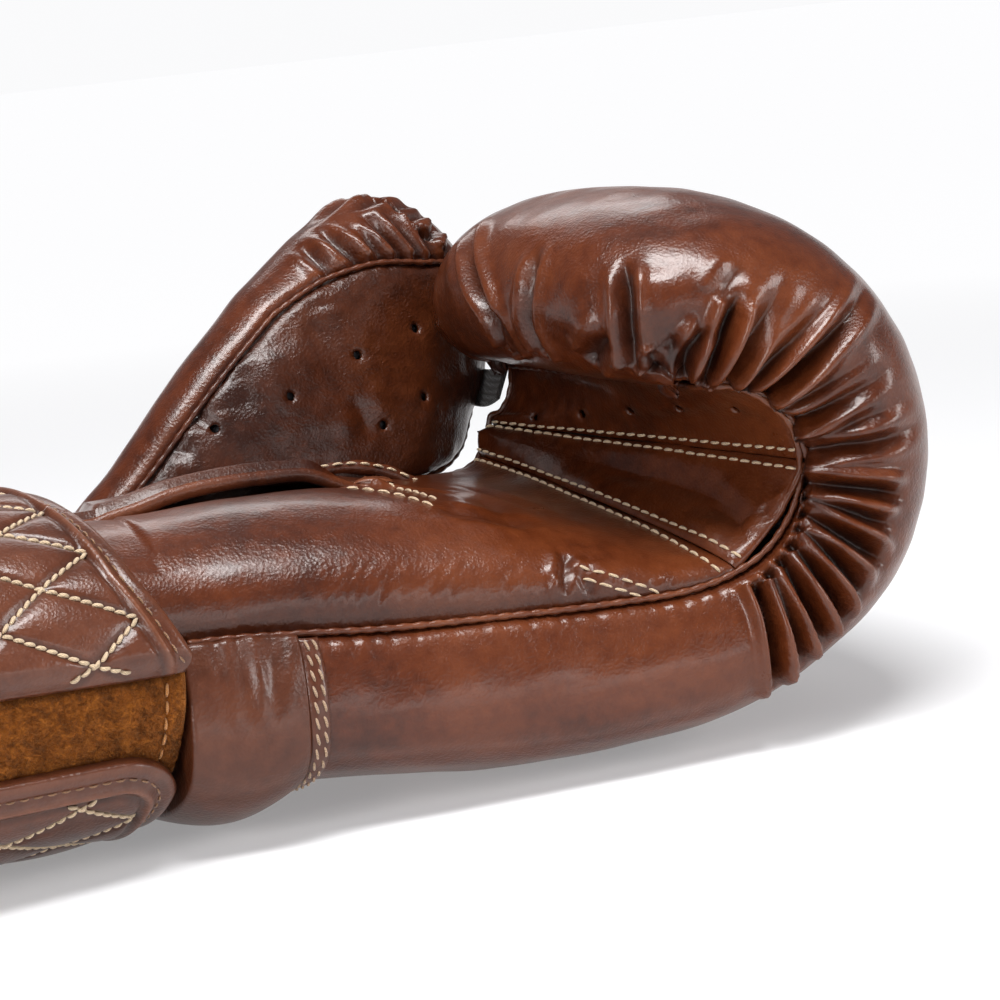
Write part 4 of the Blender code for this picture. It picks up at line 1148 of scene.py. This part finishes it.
def pad_mesh(name, outer, inner, body, nodes):
    """A foam layer between two grids, closed."""
    n, m = outer.shape[:2]
    t = n * m
    Nn = faced(outer, inner.mean((0, 1)))
    flip = (normals_of(outer) * Nn).sum() < 0
    a = grid_faces(n, m, flip=flip)
    b = grid_faces(n, m, flip=not flip, base=t)
    e = np.concatenate([a[:, [0, 1]], a[:, [1, 2]], a[:, [2, 3]], a[:, [3, 0]]])
    code = e[:, 0].astype(np.int64) * (2 * t) + e[:, 1]
    rev = e[:, 1].astype(np.int64) * (2 * t) + e[:, 0]
    rim = e[~np.isin(code, rev)]
    w = np.stack([rim[:, 1], rim[:, 0], rim[:, 0] + t, rim[:, 1] + t], 1)
    v = np.concatenate([outer.reshape(-1, 3), inner.reshape(-1, 3)])
    o = mesh_object(name, v, np.concatenate([a, b, w]).tolist(), FOAM, body, shade_and_wear=np.zeros(len(v)), replaces=nodes)
    return o


kf_ = np.linspace(2.2, 14.1, 70)
pf_ = np.linspace(0.11, 0.89, 50)
d1 = depth_of(HAND_D1, kf_)
pad_mesh("knuckle_padding_outer", back(kf_, pf_, FIRST + 4.0), back(kf_, pf_, FIRST + d1), "glove_body", ["knuckle_foam_outer"])
kf_ = np.linspace(2.3, 13.3, 60)
d1, d2 = depth_of(HAND_D1, kf_), depth_of(HAND_D2, kf_)
pf_ = np.linspace(0.13, 0.87, 44)
pad_mesh("knuckle_padding_inner", back(kf_, pf_, FIRST + d1 + 1.7), back(kf_, pf_, FIRST + d1 + 1.7 + d2), "glove_body", ["knuckle_foam_inner"])
kq_ = np.linspace(1.5, 5.6, 40)
for side, lo, hi_ in (("little", -0.86, -0.12), ("thumb", 0.28, 0.50)):
    vq = np.linspace(lo, hi_, 24)
    pad_mesh(f"palm_padding_{side}", palm(kq_, vq, 4.3, 4), palm(kq_, vq, 7.0, 5), "glove_body", [f"palm_foam_{side}"])

kw_ = np.linspace(1.05, 1.95, 16)
pw_ = np.linspace(0.10, 0.90, 60)
pad_mesh("wrist_padding", back(kw_, pw_, 2.4), back(kw_, pw_, 6.6), "glove_body", ["wrist_foam"])
for side, lo, hi_, deep_ in (("back", 194, 362, -8.0), ("little", 16, 78, -7.2), ("thumb", 105, 180, -7.2)):
    X, T = np.meshgrid(np.linspace(CUFF_END + 5, -18 if side == "back" else -53, 30), np.linspace(lo, hi_, int((hi_ - lo) / 3)), indexing="ij")
    pad_mesh(f"cuff_padding_{side}", cuff(X, T, -2.6), cuff(X, T, deep_), "glove_body", [f"cuff_foam_{side}"])

# ================================================================== strap
arc_t = np.linspace(0, 345, 800)
arc_p = cuff(-52.0, arc_t, 8.0)
arc_s = np.concatenate([[0], np.cumsum(np.linalg.norm(np.diff(arc_p, axis=0), axis=1))])
S_END = float(np.interp(341.0, arc_t, arc_s))
BORDER = 8.0


def strap_piece(name, t0, t1, body, nodes, tip=False, root=False):
    s0, s1 = np.interp([t0, t1], arc_t, arc_s)
    ns = max(20, int((s1 - s0) / (0.62)))
    nw = 112
    s = np.linspace(s0, s1, ns)
    if tip:
        u = np.linspace(0, 1, ns)
        s = s0 + (s1 - s0) * (1 - (1 - u) ** 1.25)
    r = np.linspace(0, 1, nw)
    r = 0.5 - 0.5 * np.cos(math.pi * r) * (0.6 + 0.4 * np.abs(np.cos(math.pi * r)))
    th = np.interp(s, arc_s, arc_t)
    S, Rr = np.meshgrid(s, r, indexing="ij")
    TH = th[:, None] + 0 * Rr
    rad = 16.0
    to_end = S_END - S
    cut = np.where(to_end < rad, rad - np.sqrt(np.maximum(rad**2 - (rad - to_end) ** 2, 0)), 0) if tip else 0 * S
    if root:
        cut = np.where(S - s0 < 9.0, 9.0 - np.sqrt(np.maximum(81.0 - (9.0 - (S - s0)) ** 2, 0)), 0) * 0.8
    Wd = cut + (STRAP_WIDTH - 2 * cut) * Rr
    X = strap_border(TH) - Wd
    # distance to the strap's own outline
    e = np.minimum(Wd, STRAP_WIDTH - Wd)
    if tip:
        dx = np.maximum(rad - np.minimum(Wd, STRAP_WIDTH - Wd), 0)
        dy = np.maximum(rad - to_end, 0)
        e = np.where((dx > 0) & (dy > 0), rad - np.hypot(dx, dy), np.minimum(e, to_end))
    inner = smoothstep(BORDER - 0.8, BORDER + 1.6, e)
    w_ = Wd - BORDER
    a1, a2 = S / 20.0 + w_ / 32.0, S / 20.0 - w_ / 32.0
    q1, q2 = np.abs(np.sin(math.pi * a1)), np.abs(np.sin(math.pi * a2))
    puff = (q1 * q2) ** 0.5
    line_d = np.minimum(np.abs(a1 - np.round(a1)), np.abs(a2 - np.round(a2))) * 17.0
    quilt = 1.25 * puff - 0.55 * np.exp(-(line_d / 1.0) ** 2)
    top = 8.1 + inner * quilt - 0.25 * (1 - inner)
    top += 1.5 * np.exp(-((e - (BORDER - 1.2)) / 1.15) ** 2)                # piping ridge
    top -= 0.7 * np.exp(-((e - (BORDER + 0.9)) / 0.8) ** 2)
    top -= 0.35 * np.exp(-((e - 4.2) / 0.7) ** 2)                           # thread groove of the border
    lowest = 5.3 if tip else 3.7
    roundness = np.sqrt(np.clip(1 - (1 - np.clip(e / 2.4, 0, 1)) ** 2, 0.0, 1))
    top = lowest + 1.2 + (top - lowest - 1.2) * roundness
    # painted shade in the quilting grooves and the groove inside the border; the piping ridge and the outer edge are
    # paler
    shade_wear = 0.55 * np.exp(-((e - (BORDER - 1.2)) / 0.9) ** 2) - inner * 0.55 * np.exp(-(line_d / 1.1) ** 2) - 0.5 * np.exp(-((e - (BORDER + 0.8)) / 0.7) ** 2)
    shade_wear += 0.25 * np.exp(-((e - 1.2) / 0.9) ** 2)
    if root:
        top = lowest + 0.5 + (top - lowest - 0.5) * smoothstep(0.0, 6.5, S - s0) ** 0.6
    P = cuff(X, TH, top)
    P[..., 2] = np.maximum(P[..., 2], rest_plane(P[..., 0]) + 0.25)
    N = faced(P, (-60, 0, 35))
    bottom = cuff(X, TH, lowest - (1.15 if tip else 0.0) * (1 - smoothstep(0.2, 3.5, e)))
    bottom = np.where((bottom[..., 2:] < P[..., 2:] + 0.5) & (N[..., 2:] < -0.5), P - N * 2.0, bottom)
    t = ns * nw
    flip = (normals_of(P) * N).sum() < 0
    a = grid_faces(ns, nw, flip=flip)
    b = grid_faces(ns, nw, flip=not flip, base=t)
    ed = np.concatenate([a[:, [0, 1]], a[:, [1, 2]], a[:, [2, 3]], a[:, [3, 0]]])
    code = ed[:, 0].astype(np.int64) * (2 * t) + ed[:, 1]
    rev = ed[:, 1].astype(np.int64) * (2 * t) + ed[:, 0]
    rim = ed[~np.isin(code, rev)]
    wl = np.stack([rim[:, 1], rim[:, 0], rim[:, 0] + t, rim[:, 1] + t], 1)
    v = np.concatenate([P.reshape(-1, 3), bottom.reshape(-1, 3)])
    o = mesh_object(name, v, np.concatenate([a, b, wl]).tolist(), STRAPL, body, shade_and_wear=np.concatenate([shade_wear.ravel(), 0 * shade_wear.ravel()]),
                    replaces=nodes)
    # thread: the quilting, and the border's row
    surf = Surface(P, N)
    quilt_lines = []

    def point(ss, ww):
        t_ = np.interp(ss, arc_s, arc_t)
        return cuff(strap_border(t_) - ww, t_, 8.1)

    wlo, whi = BORDER + 0.4, STRAP_WIDTH - BORDER - 0.4
    for fam in (1, -1):
        for kk_ in range(-4, 30):
            ww = np.linspace(wlo, whi, 90)
            ss = 20.0 * (kk_ - fam * (ww - BORDER) / 32.0)
            ok = (ss > s0 + 0.3) & (ss < (s1 - (9.0 if tip else 0.3)))
            if tip:
                te = S_END - ss
                dxx = np.maximum(rad - np.minimum(ww, STRAP_WIDTH - ww), 0)
                dyy = np.maximum(rad - te, 0)
                ee = np.where((dxx > 0) & (dyy > 0), rad - np.hypot(dxx, dyy), np.minimum(np.minimum(ww, STRAP_WIDTH - ww), te))
                ok &= ee > BORDER + 0.4
            if ok.sum() > 6:
                quilt_lines.append(np.array([point(x_, y_) for x_, y_ in zip(ss[ok], ww[ok])]))
    stitches(name.replace("leather", "quilting"), quilt_lines, surf, THREAD, body, length=2.3, gap=0.25, radius=0.50, slant=0.26)
    rows = []
    for ww in (4.2, STRAP_WIDTH - 4.2):
        ss = np.linspace(s0 + 0.5, s1 - (rad if tip else 0.5), 80)
        rows.append(np.array([point(x_, ww) for x_ in ss]))
    if tip:
        g = np.linspace(0, math.pi / 2, 24)
        c1 = [point(S_END - rad + (rad - 4.2) * math.sin(x_), rad - (rad - 4.2) * math.cos(x_)) for x_ in g]
        c2 = [point(S_END - rad + (rad - 4.2) * math.cos(x_), STRAP_WIDTH - rad + (rad - 4.2) * math.sin(x_)) for x_ in g]
        mid_ = [point(S_END - 4.2, x_) for x_ in np.linspace(rad, STRAP_WIDTH - rad, 30)]
        rows.append(np.array(c1 + mid_ + c2))
    stitches(name.replace("leather", "border_stitches"), rows, surf, THREAD_DARK, body, length=2.1, gap=1.1, radius=0.27)
    return surf


def hinge_span(i, spread_=9.0):
    a = cuff(-52.0, STRAP_HINGES[i] - spread_, 8.0)
    b = cuff(-52.0, STRAP_HINGES[i] + spread_, 8.0)
    return a, b


def mid_arc(i):
    return sum(STRAP_ARCS[i]) / 2


a, b = cuff(-52.0, 5.0, 8.0), cuff(-52.0, 26.0, 8.0)
strap_piece("strap_palm_leather", 6.4, mid_arc(0), ("glove_body", "strap_palm", a, b), ["strap_palm_cover", "strap_palm_padding", "strap_palm_backing"], root=True)
a, b = hinge_span(1)
strap_piece("strap_side_leather", mid_arc(0), mid_arc(1), ("strap_palm", "strap_side", a, b), ["strap_side_cover", "strap_side_padding", "strap_side_backing"])
a, b = hinge_span(2)
strap_piece("strap_back_leather", mid_arc(1), mid_arc(2), ("strap_side", "strap_back", a, b), ["strap_back_cover", "strap_back_padding", "strap_back_backing"])
a, b = hinge_span(3)
strap_piece("strap_tip_leather", mid_arc(2), 341.0, ("strap_back", "strap_tip", a, b), ["strap_tip_cover", "strap_tip_padding", "strap_tip_backing"], tip=True)

X, T = np.meshgrid(np.linspace(-28.0, -71.0, 40), np.linspace(304, 331, 40), indexing="ij")
P = cuff(X, T, 4.7)
N = faced(P, (-60, 0, 35))
skin("hook_tape_patch", P, N, 0.8, HOOK, "strap_tip", replaces=["hook_patch"])

# loop panel: napped cloth with a turned, stitched border
X, T = np.meshgrid(np.linspace(-100.5, -16.5, 150), np.linspace(289, 366.5, 170), indexing="ij")
ex = np.minimum(X + 100.5, -16.5 - X)
et = np.minimum(T - 289, 366.5 - T) * 0.85
ee = np.minimum(ex, et)
base = cuff(X, T, 2.0)
h = 1.0 - 1.5 * np.exp(-(ee / 1.5) ** 1.5) - 0.7 * np.exp(-((ex - 5.0) / 0.8) ** 2) + 0.16 * noise3(base, 3.2, 71) + 0.30 * noise3(base, 16.0, 72)
r_ = np.random.RandomState(3)
h += r_.normal(size=h.shape) * 0.055
P = cuff(X, T, 2.0 + h)
P[..., 2] = np.maximum(P[..., 2], rest_plane(P[..., 0]) + 1.0)
N = faced(P, (-60, 0, 35))
skin("loop_panel_cloth", P, N, 1.3, LOOP, "glove_body", replaces=["loop_panel"])
rp = np.random.RandomState(8)
NF = 26000
fi, fj = rp.uniform(1.5, 147.5, NF), rp.uniform(1.5, 167.5, NF)
a_, b_ = fi.astype(int), fj.astype(int)
wa, wb = (fi - a_)[:, None], (fj - b_)[:, None]
root_ = P[a_, b_] * (1 - wa) * (1 - wb) + P[a_ + 1, b_] * wa * (1 - wb) + P[a_, b_ + 1] * (1 - wa) * wb + P[a_ + 1, b_ + 1] * wa * wb
nr = N[a_, b_]
tilt = rp.normal(size=(NF, 3)) * 0.75
dir_ = nr + tilt - nr * (tilt * nr).sum(1, keepdims=True)
dir_ /= np.linalg.norm(dir_, axis=1, keepdims=True)
s1_ = np.cross(dir_, nr + 1e-4)
s1_ /= np.maximum(np.linalg.norm(s1_, axis=1, keepdims=True), 1e-6)
s2_ = np.cross(dir_, s1_)
rad_ = rp.uniform(0.10, 0.19, (NF, 1))
foot = root_ - nr * 0.25
quad = np.stack([foot + rad_ * s1_, foot + rad_ * (-0.5 * s1_ + 0.866 * s2_), foot + rad_ * (-0.5 * s1_ - 0.866 * s2_),
                 root_ + dir_ * rp.uniform(0.5, 1.25, (NF, 1))], 1).reshape(-1, 3)
fb_ = (np.arange(NF) * 4)[:, None, None] + np.array([[0, 2, 1], [0, 1, 3], [1, 2, 3], [2, 0, 3]])[None]
mesh_object("loop_pile", quad, fb_.reshape(-1, 3).tolist(), LOOP, "glove_body", shade_and_wear=np.zeros(len(quad)), smooth=False)
stitches("loop_panel_stitches", [cuff(-21.5, np.linspace(291, 365, 80), 3.0)], Surface(P, N), thread_material("thread_orange", (0.62, 0.26, 0.07)),
         "glove_body", length=2.8, gap=1.0, radius=0.40)

# ================================================================== thumb
thumb_span = (np.array([40.0, 58.0, 60.0]), np.array([58.0, 64.0, 80.0]))
TB = ("glove_body", "thumb", thumb_span[0], thumb_span[1])
NS, NT = ((210, 200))
P_IN0, P_IN1, S_IN = 0.055, 0.79, 0.795


def panel_top(s_):
    """Upper edge of the inner panel: it bends down towards the fist near the tip."""
    return np.interp(s_, [0, 0.40, 0.50, 0.60, 0.65, 0.70, 0.80, 1.0], [0.79, 0.785, 0.735, 0.655, 0.605, 0.56, 0.50, 0.46])


def thumb_rows(s_, u_, lo, hi_):
    """Rows of the thumb's surface, each from angle lo to hi_ of that row."""
    return np.concatenate([thumb(s_[i:i + 1], lo[i] + (hi_[i] - lo[i]) * u_) for i in range(len(s_))])


st = np.concatenate([np.linspace(0.02, 0.80, int(NS * 0.7)), np.linspace(0.80, 0.965, NS - int(NS * 0.7) + 1)[1:]])
NI_ = int(NT * 0.4)
pt = np.zeros(NT - 1)
top_ = panel_top(st)
low_ = np.full(len(st), P_IN0)
TP = np.concatenate([thumb_rows(st, np.linspace(0, 1, NI_), low_, top_), thumb_rows(st, np.linspace(0, 1, NT - NI_ + 1)[1:-1], top_, low_ + 2)], 1)
TN = faced(TP, TP.mean((0, 1)), wrap=True)
tc = Carver(TP, TN)
i_cut = int(np.argmin(np.abs(st - S_IN)))
j_cut = int(NT * 0.4) - 1
seam = np.concatenate([TP[:i_cut + 1, j_cut], TP[i_cut, :j_cut + 1][::-1], TP[:i_cut + 1, 0][::-1]])
# painted shade darkens the thumb's seam groove, with a paler lip beside it
d, _ = seg_field(tc.flat, resample(seam, 1.5)[0], 3.0)
tc.h -= 1.5 * np.exp(-(d / 1.6) ** 1.5)
tc.shade_wear -= 0.6 * np.exp(-(d / 1.4) ** 1.5)
tc.shade_wear += 0.35 * np.exp(-((d - 2.8) / 1.2) ** 2)
# gathers over the thumb's tip
r_ = np.random.RandomState(21)
for i, u in enumerate(np.linspace(0.06, 0.76, 10)):
    p0 = S_IN
    p1 = S_IN + r_.uniform(0.10, 0.15)
    ln = np.array([thumb(np.array([a_]), np.array([u + (b_ - 0.5) * 0.05 * np.sin(i * 2.1)]))[0, 0] for a_, b_ in zip(np.linspace(p0, p1, 12), np.linspace(0, 1, 12))])
    tc.fold(ln, r_.uniform(1.8, 3.0), 2.1, ridge=0.6, taper=(0.02, 0.5))
for u, s_a, s_b, dep in ((0.86, 0.70, 0.82, 1.8), (0.98, 0.62, 0.80, 1.4), (1.10, 0.66, 0.84, 1.2), (1.92, 0.66, 0.84, 1.6), (1.80, 0.60, 0.82, 1.2)):
    ln = thumb(np.linspace(s_b, s_a, 12), np.array([u]))[:, 0]
    tc.fold(ln, dep, 2.4, ridge=0.5, taper=(0.05, 0.6))
tc.h += 0.30 * noise3(tc.flat, 30.0, 81) + 0.12 * noise3(tc.flat, 11.0, 82)
for i, a_ in enumerate((0.52, 0.575, 0.62, 0.665, 0.71, 0.755)):
    t_ = np.linspace(0, 1, 14)
    ln = np.array([thumb(np.array([a_ + 0.05 * q_]), np.array([panel_top(a_) + (0.22 + 0.05 * math.sin(i * 2.3)) * q_]))[0, 0] for q_ in t_])
    tc.fold(ln, (1.7, 2.4, 2.0, 2.6, 2.1, 2.2)[i], 1.9, ridge=0.6, taper=(0.02, 0.5))
TS, TR = tc.result((-4, 2.5))
keep = np.ones((len(st) - 1, len(pt)), bool)
keep[:i_cut, :j_cut] = False
skin("thumb_shell_leather", TS, TN, 1.2, SHELL, TB, wrap=True, keep=keep, shade_and_wear=TR,
     replaces=["thumb_outer_shell", "thumb_gusset"], cap=True)
si = np.linspace(0.02, S_IN, NS)
pi = np.linspace(P_IN0, P_IN1, int(NT * 0.7))
IP = thumb_rows(si, (pi - pi[0]) / (pi[-1] - pi[0]), np.full(len(si), P_IN0), panel_top(si))
IN_ = faced(IP, thumb(np.array([0.4]), np.array([0.5]), 40, 14)[0, 0])
ic = Carver(IP, IN_)
# painted shade in the seam groove of the inner panel
d, _ = seg_field(ic.flat, resample(seam, 1.5)[0], 3.0)
ic.h -= 1.3 * np.exp(-(d / 1.6) ** 1.5)
ic.shade_wear -= 0.5 * np.exp(-(d / 1.4) ** 1.5)
r_ = np.random.RandomState(33)
for i in range(26):
    s_c, p_c = r_.uniform(0.2, 0.75), r_.uniform(0.12, 0.74)
    ang = r_.uniform(-1.2, 1.2)
    ln = np.array([thumb(np.array([s_c + 0.05 * t_ * math.cos(ang)]), np.array([p_c + 0.07 * t_ * math.sin(ang)]))[0, 0] for t_ in np.linspace(-1, 1, 10)])
    ic.fold(ln, r_.uniform(0.08, 0.32), r_.uniform(1.3, 2.6), ridge=0.5, taper=(0.3, 0.4), shade=0.4)
for pts, depth, half in [
    ([(205, 385), (200, 410), (205, 432)], 0.9, 3.0),
    ([(230, 360), (245, 385), (250, 420)], 0.8, 5.0),
    ([(120, 455), (160, 450), (200, 452)], 0.8, 2.6),
    ([(300, 320), (330, 345), (345, 380)], 0.7, 5.0),
    ([(350, 395), (365, 420), (372, 445)], 0.9, 3.5),
]:
    ic.fold(ic.lay(pts), depth, half, ridge=0.6, taper=(0.25, 0.4), shade=0.4)
ic.h += 0.40 * noise3(ic.flat, 26.0, 91) + 0.07 * noise3(ic.flat, 9.0, 92)
IS, IR = ic.result((-3, 2.5))
holes = []
for px, py in ((214, 428), (291, 396), (358, 354), (416, 328), (425, 397), (384, 425)):
    q = ic.drop([(px, py)])
    if len(q):
        i = np.argmin(((IS.reshape(-1, 3) - q[0]) ** 2).sum(1))
        holes.append(IS.reshape(-1, 3)[i])
IQ, ikeep = punch(IS, IN_, holes, 1.25)
skin("thumb_inner_leather", IQ, IN_, 1.4, THUMBL, TB, keep=ikeep, shade_and_wear=IR, replaces=["thumb_inner_panel"])
seam_line, _ = resample(seam + 0, 0.7)
tube("thumb_seam_edge", seam_line, 0.75 + 0.12 * np.sin(np.arange(len(seam_line)) * 0.7 * 2 * math.pi / 4.0), TRIM, TB, 8)
# lining and foam of the thumb
sl = np.linspace(0.20, 0.80, 40)
lin = thumb(sl, np.linspace(0, 2, 61)[:-1], 16, 8.0, 2.0)
N = faced(lin, lin.mean((0, 1)), wrap=True)
skin("thumb_lining_cloth", lin + N * (0.2 * noise3(lin, 15.0, 95))[..., None], N, 0.7, LINING, "thumb", wrap=True, replaces=["thumb_lining"], cap=True)
sf_, pf2 = np.linspace(0.20, 0.81, 36), np.linspace(1.07, 1.89, 40)
pad_mesh("thumb_padding_outer", thumb(sf_, pf2, 5.4, 4.2), thumb(sf_, pf2, 13, 9.0), "thumb", ["thumb_foam_outer"])
sf_, pf2 = np.linspace(0.21, 0.75, 30), np.linspace(0.15, 0.73, 30)
pad_mesh("thumb_padding_inner", thumb(sf_, pf2, 3.9, 3.2), thumb(sf_, pf2, 5.6, 4.7), "thumb", ["thumb_foam_inner"])
# binding round the thumb's base on the palm, with its thread
bl_ = curve(np.array([[4, 45, 62], [28, 46, 67], [51, 45, 71.5], [65, 44, 73.2], [76, 43, 71.5], [86, 41, 67]], float), np.linspace(0, 1, 120))
tube("thumb_base_edge", bl_, 1.9 + 0.15 * np.sin(np.linspace(0, 40, 120)), TRIM, "glove_body", 12, replaces=["thumb_base_binding"])
nrm = np.tile(np.array([[-0.15, -0.75, 0.65]]), (120, 1))
nrm /= np.linalg.norm(nrm, axis=1, keepdims=True)
stitches("thumb_base_stitches", [bl_ + nrm * 1.9], Surface(bl_ + nrm * 1.9, nrm), THREAD, "glove_body", length=2.8, gap=1.0, radius=0.36)
# woven tab that ties the thumb to the fist
lock = np.array([[119.0, 56.5, 93.0], [117.8, 68.5, 90.0]])
wide = np.array([1.6, 0, 5.0])
u = np.linspace(0, 1, 26)
vv_ = np.linspace(-1, 1, 16)
P = lock[0] + (lock[1] - lock[0]) * u[:, None, None] + wide * vv_[None, :, None] + np.array([0, 0, -1.0]) * np.sin(math.pi * u)[:, None, None]
N = faced(P, (60, 60, 90))
skin("thumb_lock_webbing", P, N, 1.4, WEBBING, ("glove_body", "thumb", lock[0], lock[1]), replaces=["thumb_lock_strap"])

# ================================================================== floor, lights
fm = bpy.data.materials.new("floor_pale")
fm.use_nodes = True
fb = fm.node_tree.nodes["Principled BSDF"]
fb.inputs["Base Color"].default_value = (0.86, 0.86, 0.87, 1)
fb.inputs["Roughness"].default_value = 0.6
ft = fm.node_tree
fc_ = ft.nodes.new("ShaderNodeTexCoord").outputs["Object"]
fl_ = ft.nodes.new("ShaderNodeVectorMath")
fl_.operation = "LENGTH"
ft.links.new(fc_, fl_.inputs[0])
# the floor glows: emission rises from 0.28 near the glove to 1 far away while its own colour darkens, so it blends into
# the white backdrop; the glow near the glove is painted light that lifts the glove's shadow on the floor
fr_ = ft.nodes.new("ShaderNodeMapRange")
fr_.inputs["To Min"].default_value = 0.28
fr_.inputs["From Min"].default_value = 0.30
fr_.inputs["From Max"].default_value = 0.95
ft.links.new(fl_.outputs["Value"], fr_.inputs["Value"])
ft.links.new(fr_.outputs["Result"], fb.inputs["Emission Strength"])
fb.inputs["Emission Color"].default_value = (0.96, 0.96, 0.97, 1)
fcol = ft.nodes.new("ShaderNodeMix")
fcol.data_type = "RGBA"
ft.links.new(fr_.outputs["Result"], fcol.inputs["Factor"])
fcol.inputs["A"].default_value = (0.84, 0.84, 0.85, 1)
fcol.inputs["B"].default_value = (0.02, 0.02, 0.02, 1)
ft.links.new(fcol.outputs["Result"], fb.inputs["Base Color"])
fb.inputs["Specular IOR Level"].default_value = 0.05
bpy.ops.mesh.primitive_plane_add(size=14, location=(0, 0, -0.0003))
floor = bpy.context.object
floor.name = "floor"
floor.data.materials.append(fm)
world = bpy.data.worlds.new("studio")
scene.world = world
world.use_nodes = True
wt = world.node_tree
bg = wt.nodes["Background"]
wc = wt.nodes.new("ShaderNodeTexCoord")
ws = wt.nodes.new("ShaderNodeSeparateXYZ")
wt.links.new(wc.outputs["Generated"], ws.inputs[0])
wr = wt.nodes.new("ShaderNodeValToRGB")
wr.color_ramp.elements[0].position = 0.045
wr.color_ramp.elements[0].color = (0.96, 0.96, 0.97, 1)
wr.color_ramp.elements[1].position = 0.16
wr.color_ramp.elements[1].color = (0.16, 0.16, 0.17, 1)
wt.links.new(ws.outputs["Z"], wr.inputs["Fac"])
wt.links.new(wr.outputs["Color"], bg.inputs["Color"])
bg.inputs["Strength"].default_value = 1.0


def area(name, loc, aim, size, power, sy=None, colour=(1, 1, 1)):
    d_ = bpy.data.lights.new(name, "AREA")
    d_.shape = "RECTANGLE"
    d_.size = size
    d_.size_y = sy or size
    d_.energy = power
    d_.color = colour
    o = bpy.data.objects.new(name, d_)
    scene.collection.objects.link(o)
    o.location = loc
    o.rotation_euler = (Vector(aim) - Vector(loc)).to_track_quat("-Z", "Y").to_euler()
    return o


area("key_top", (-0.10, -0.24, 1.10), (0.02, 0.0, 0.05), 0.70, 17.0, 0.30)
area("side_left", (-1.05, -0.75, 0.62), (0.0, 0.0, 0.06), 0.32, 7.5, 0.60)
area("side_right", (1.10, -0.95, 0.50), (0.05, 0.0, 0.05), 0.26, 6.5, 0.60)
area("front_low", (0.25, -1.4, 0.22), (0.05, 0.0, 0.05), 0.9, 1.8, 0.18)
area("back_rim", (0.5, 1.2, 0.9), (0.1, 0.0, 0.1), 0.8, 2.6, 0.3)
scene.view_settings.view_transform = "Standard"
scene.view_settings.look = "None"
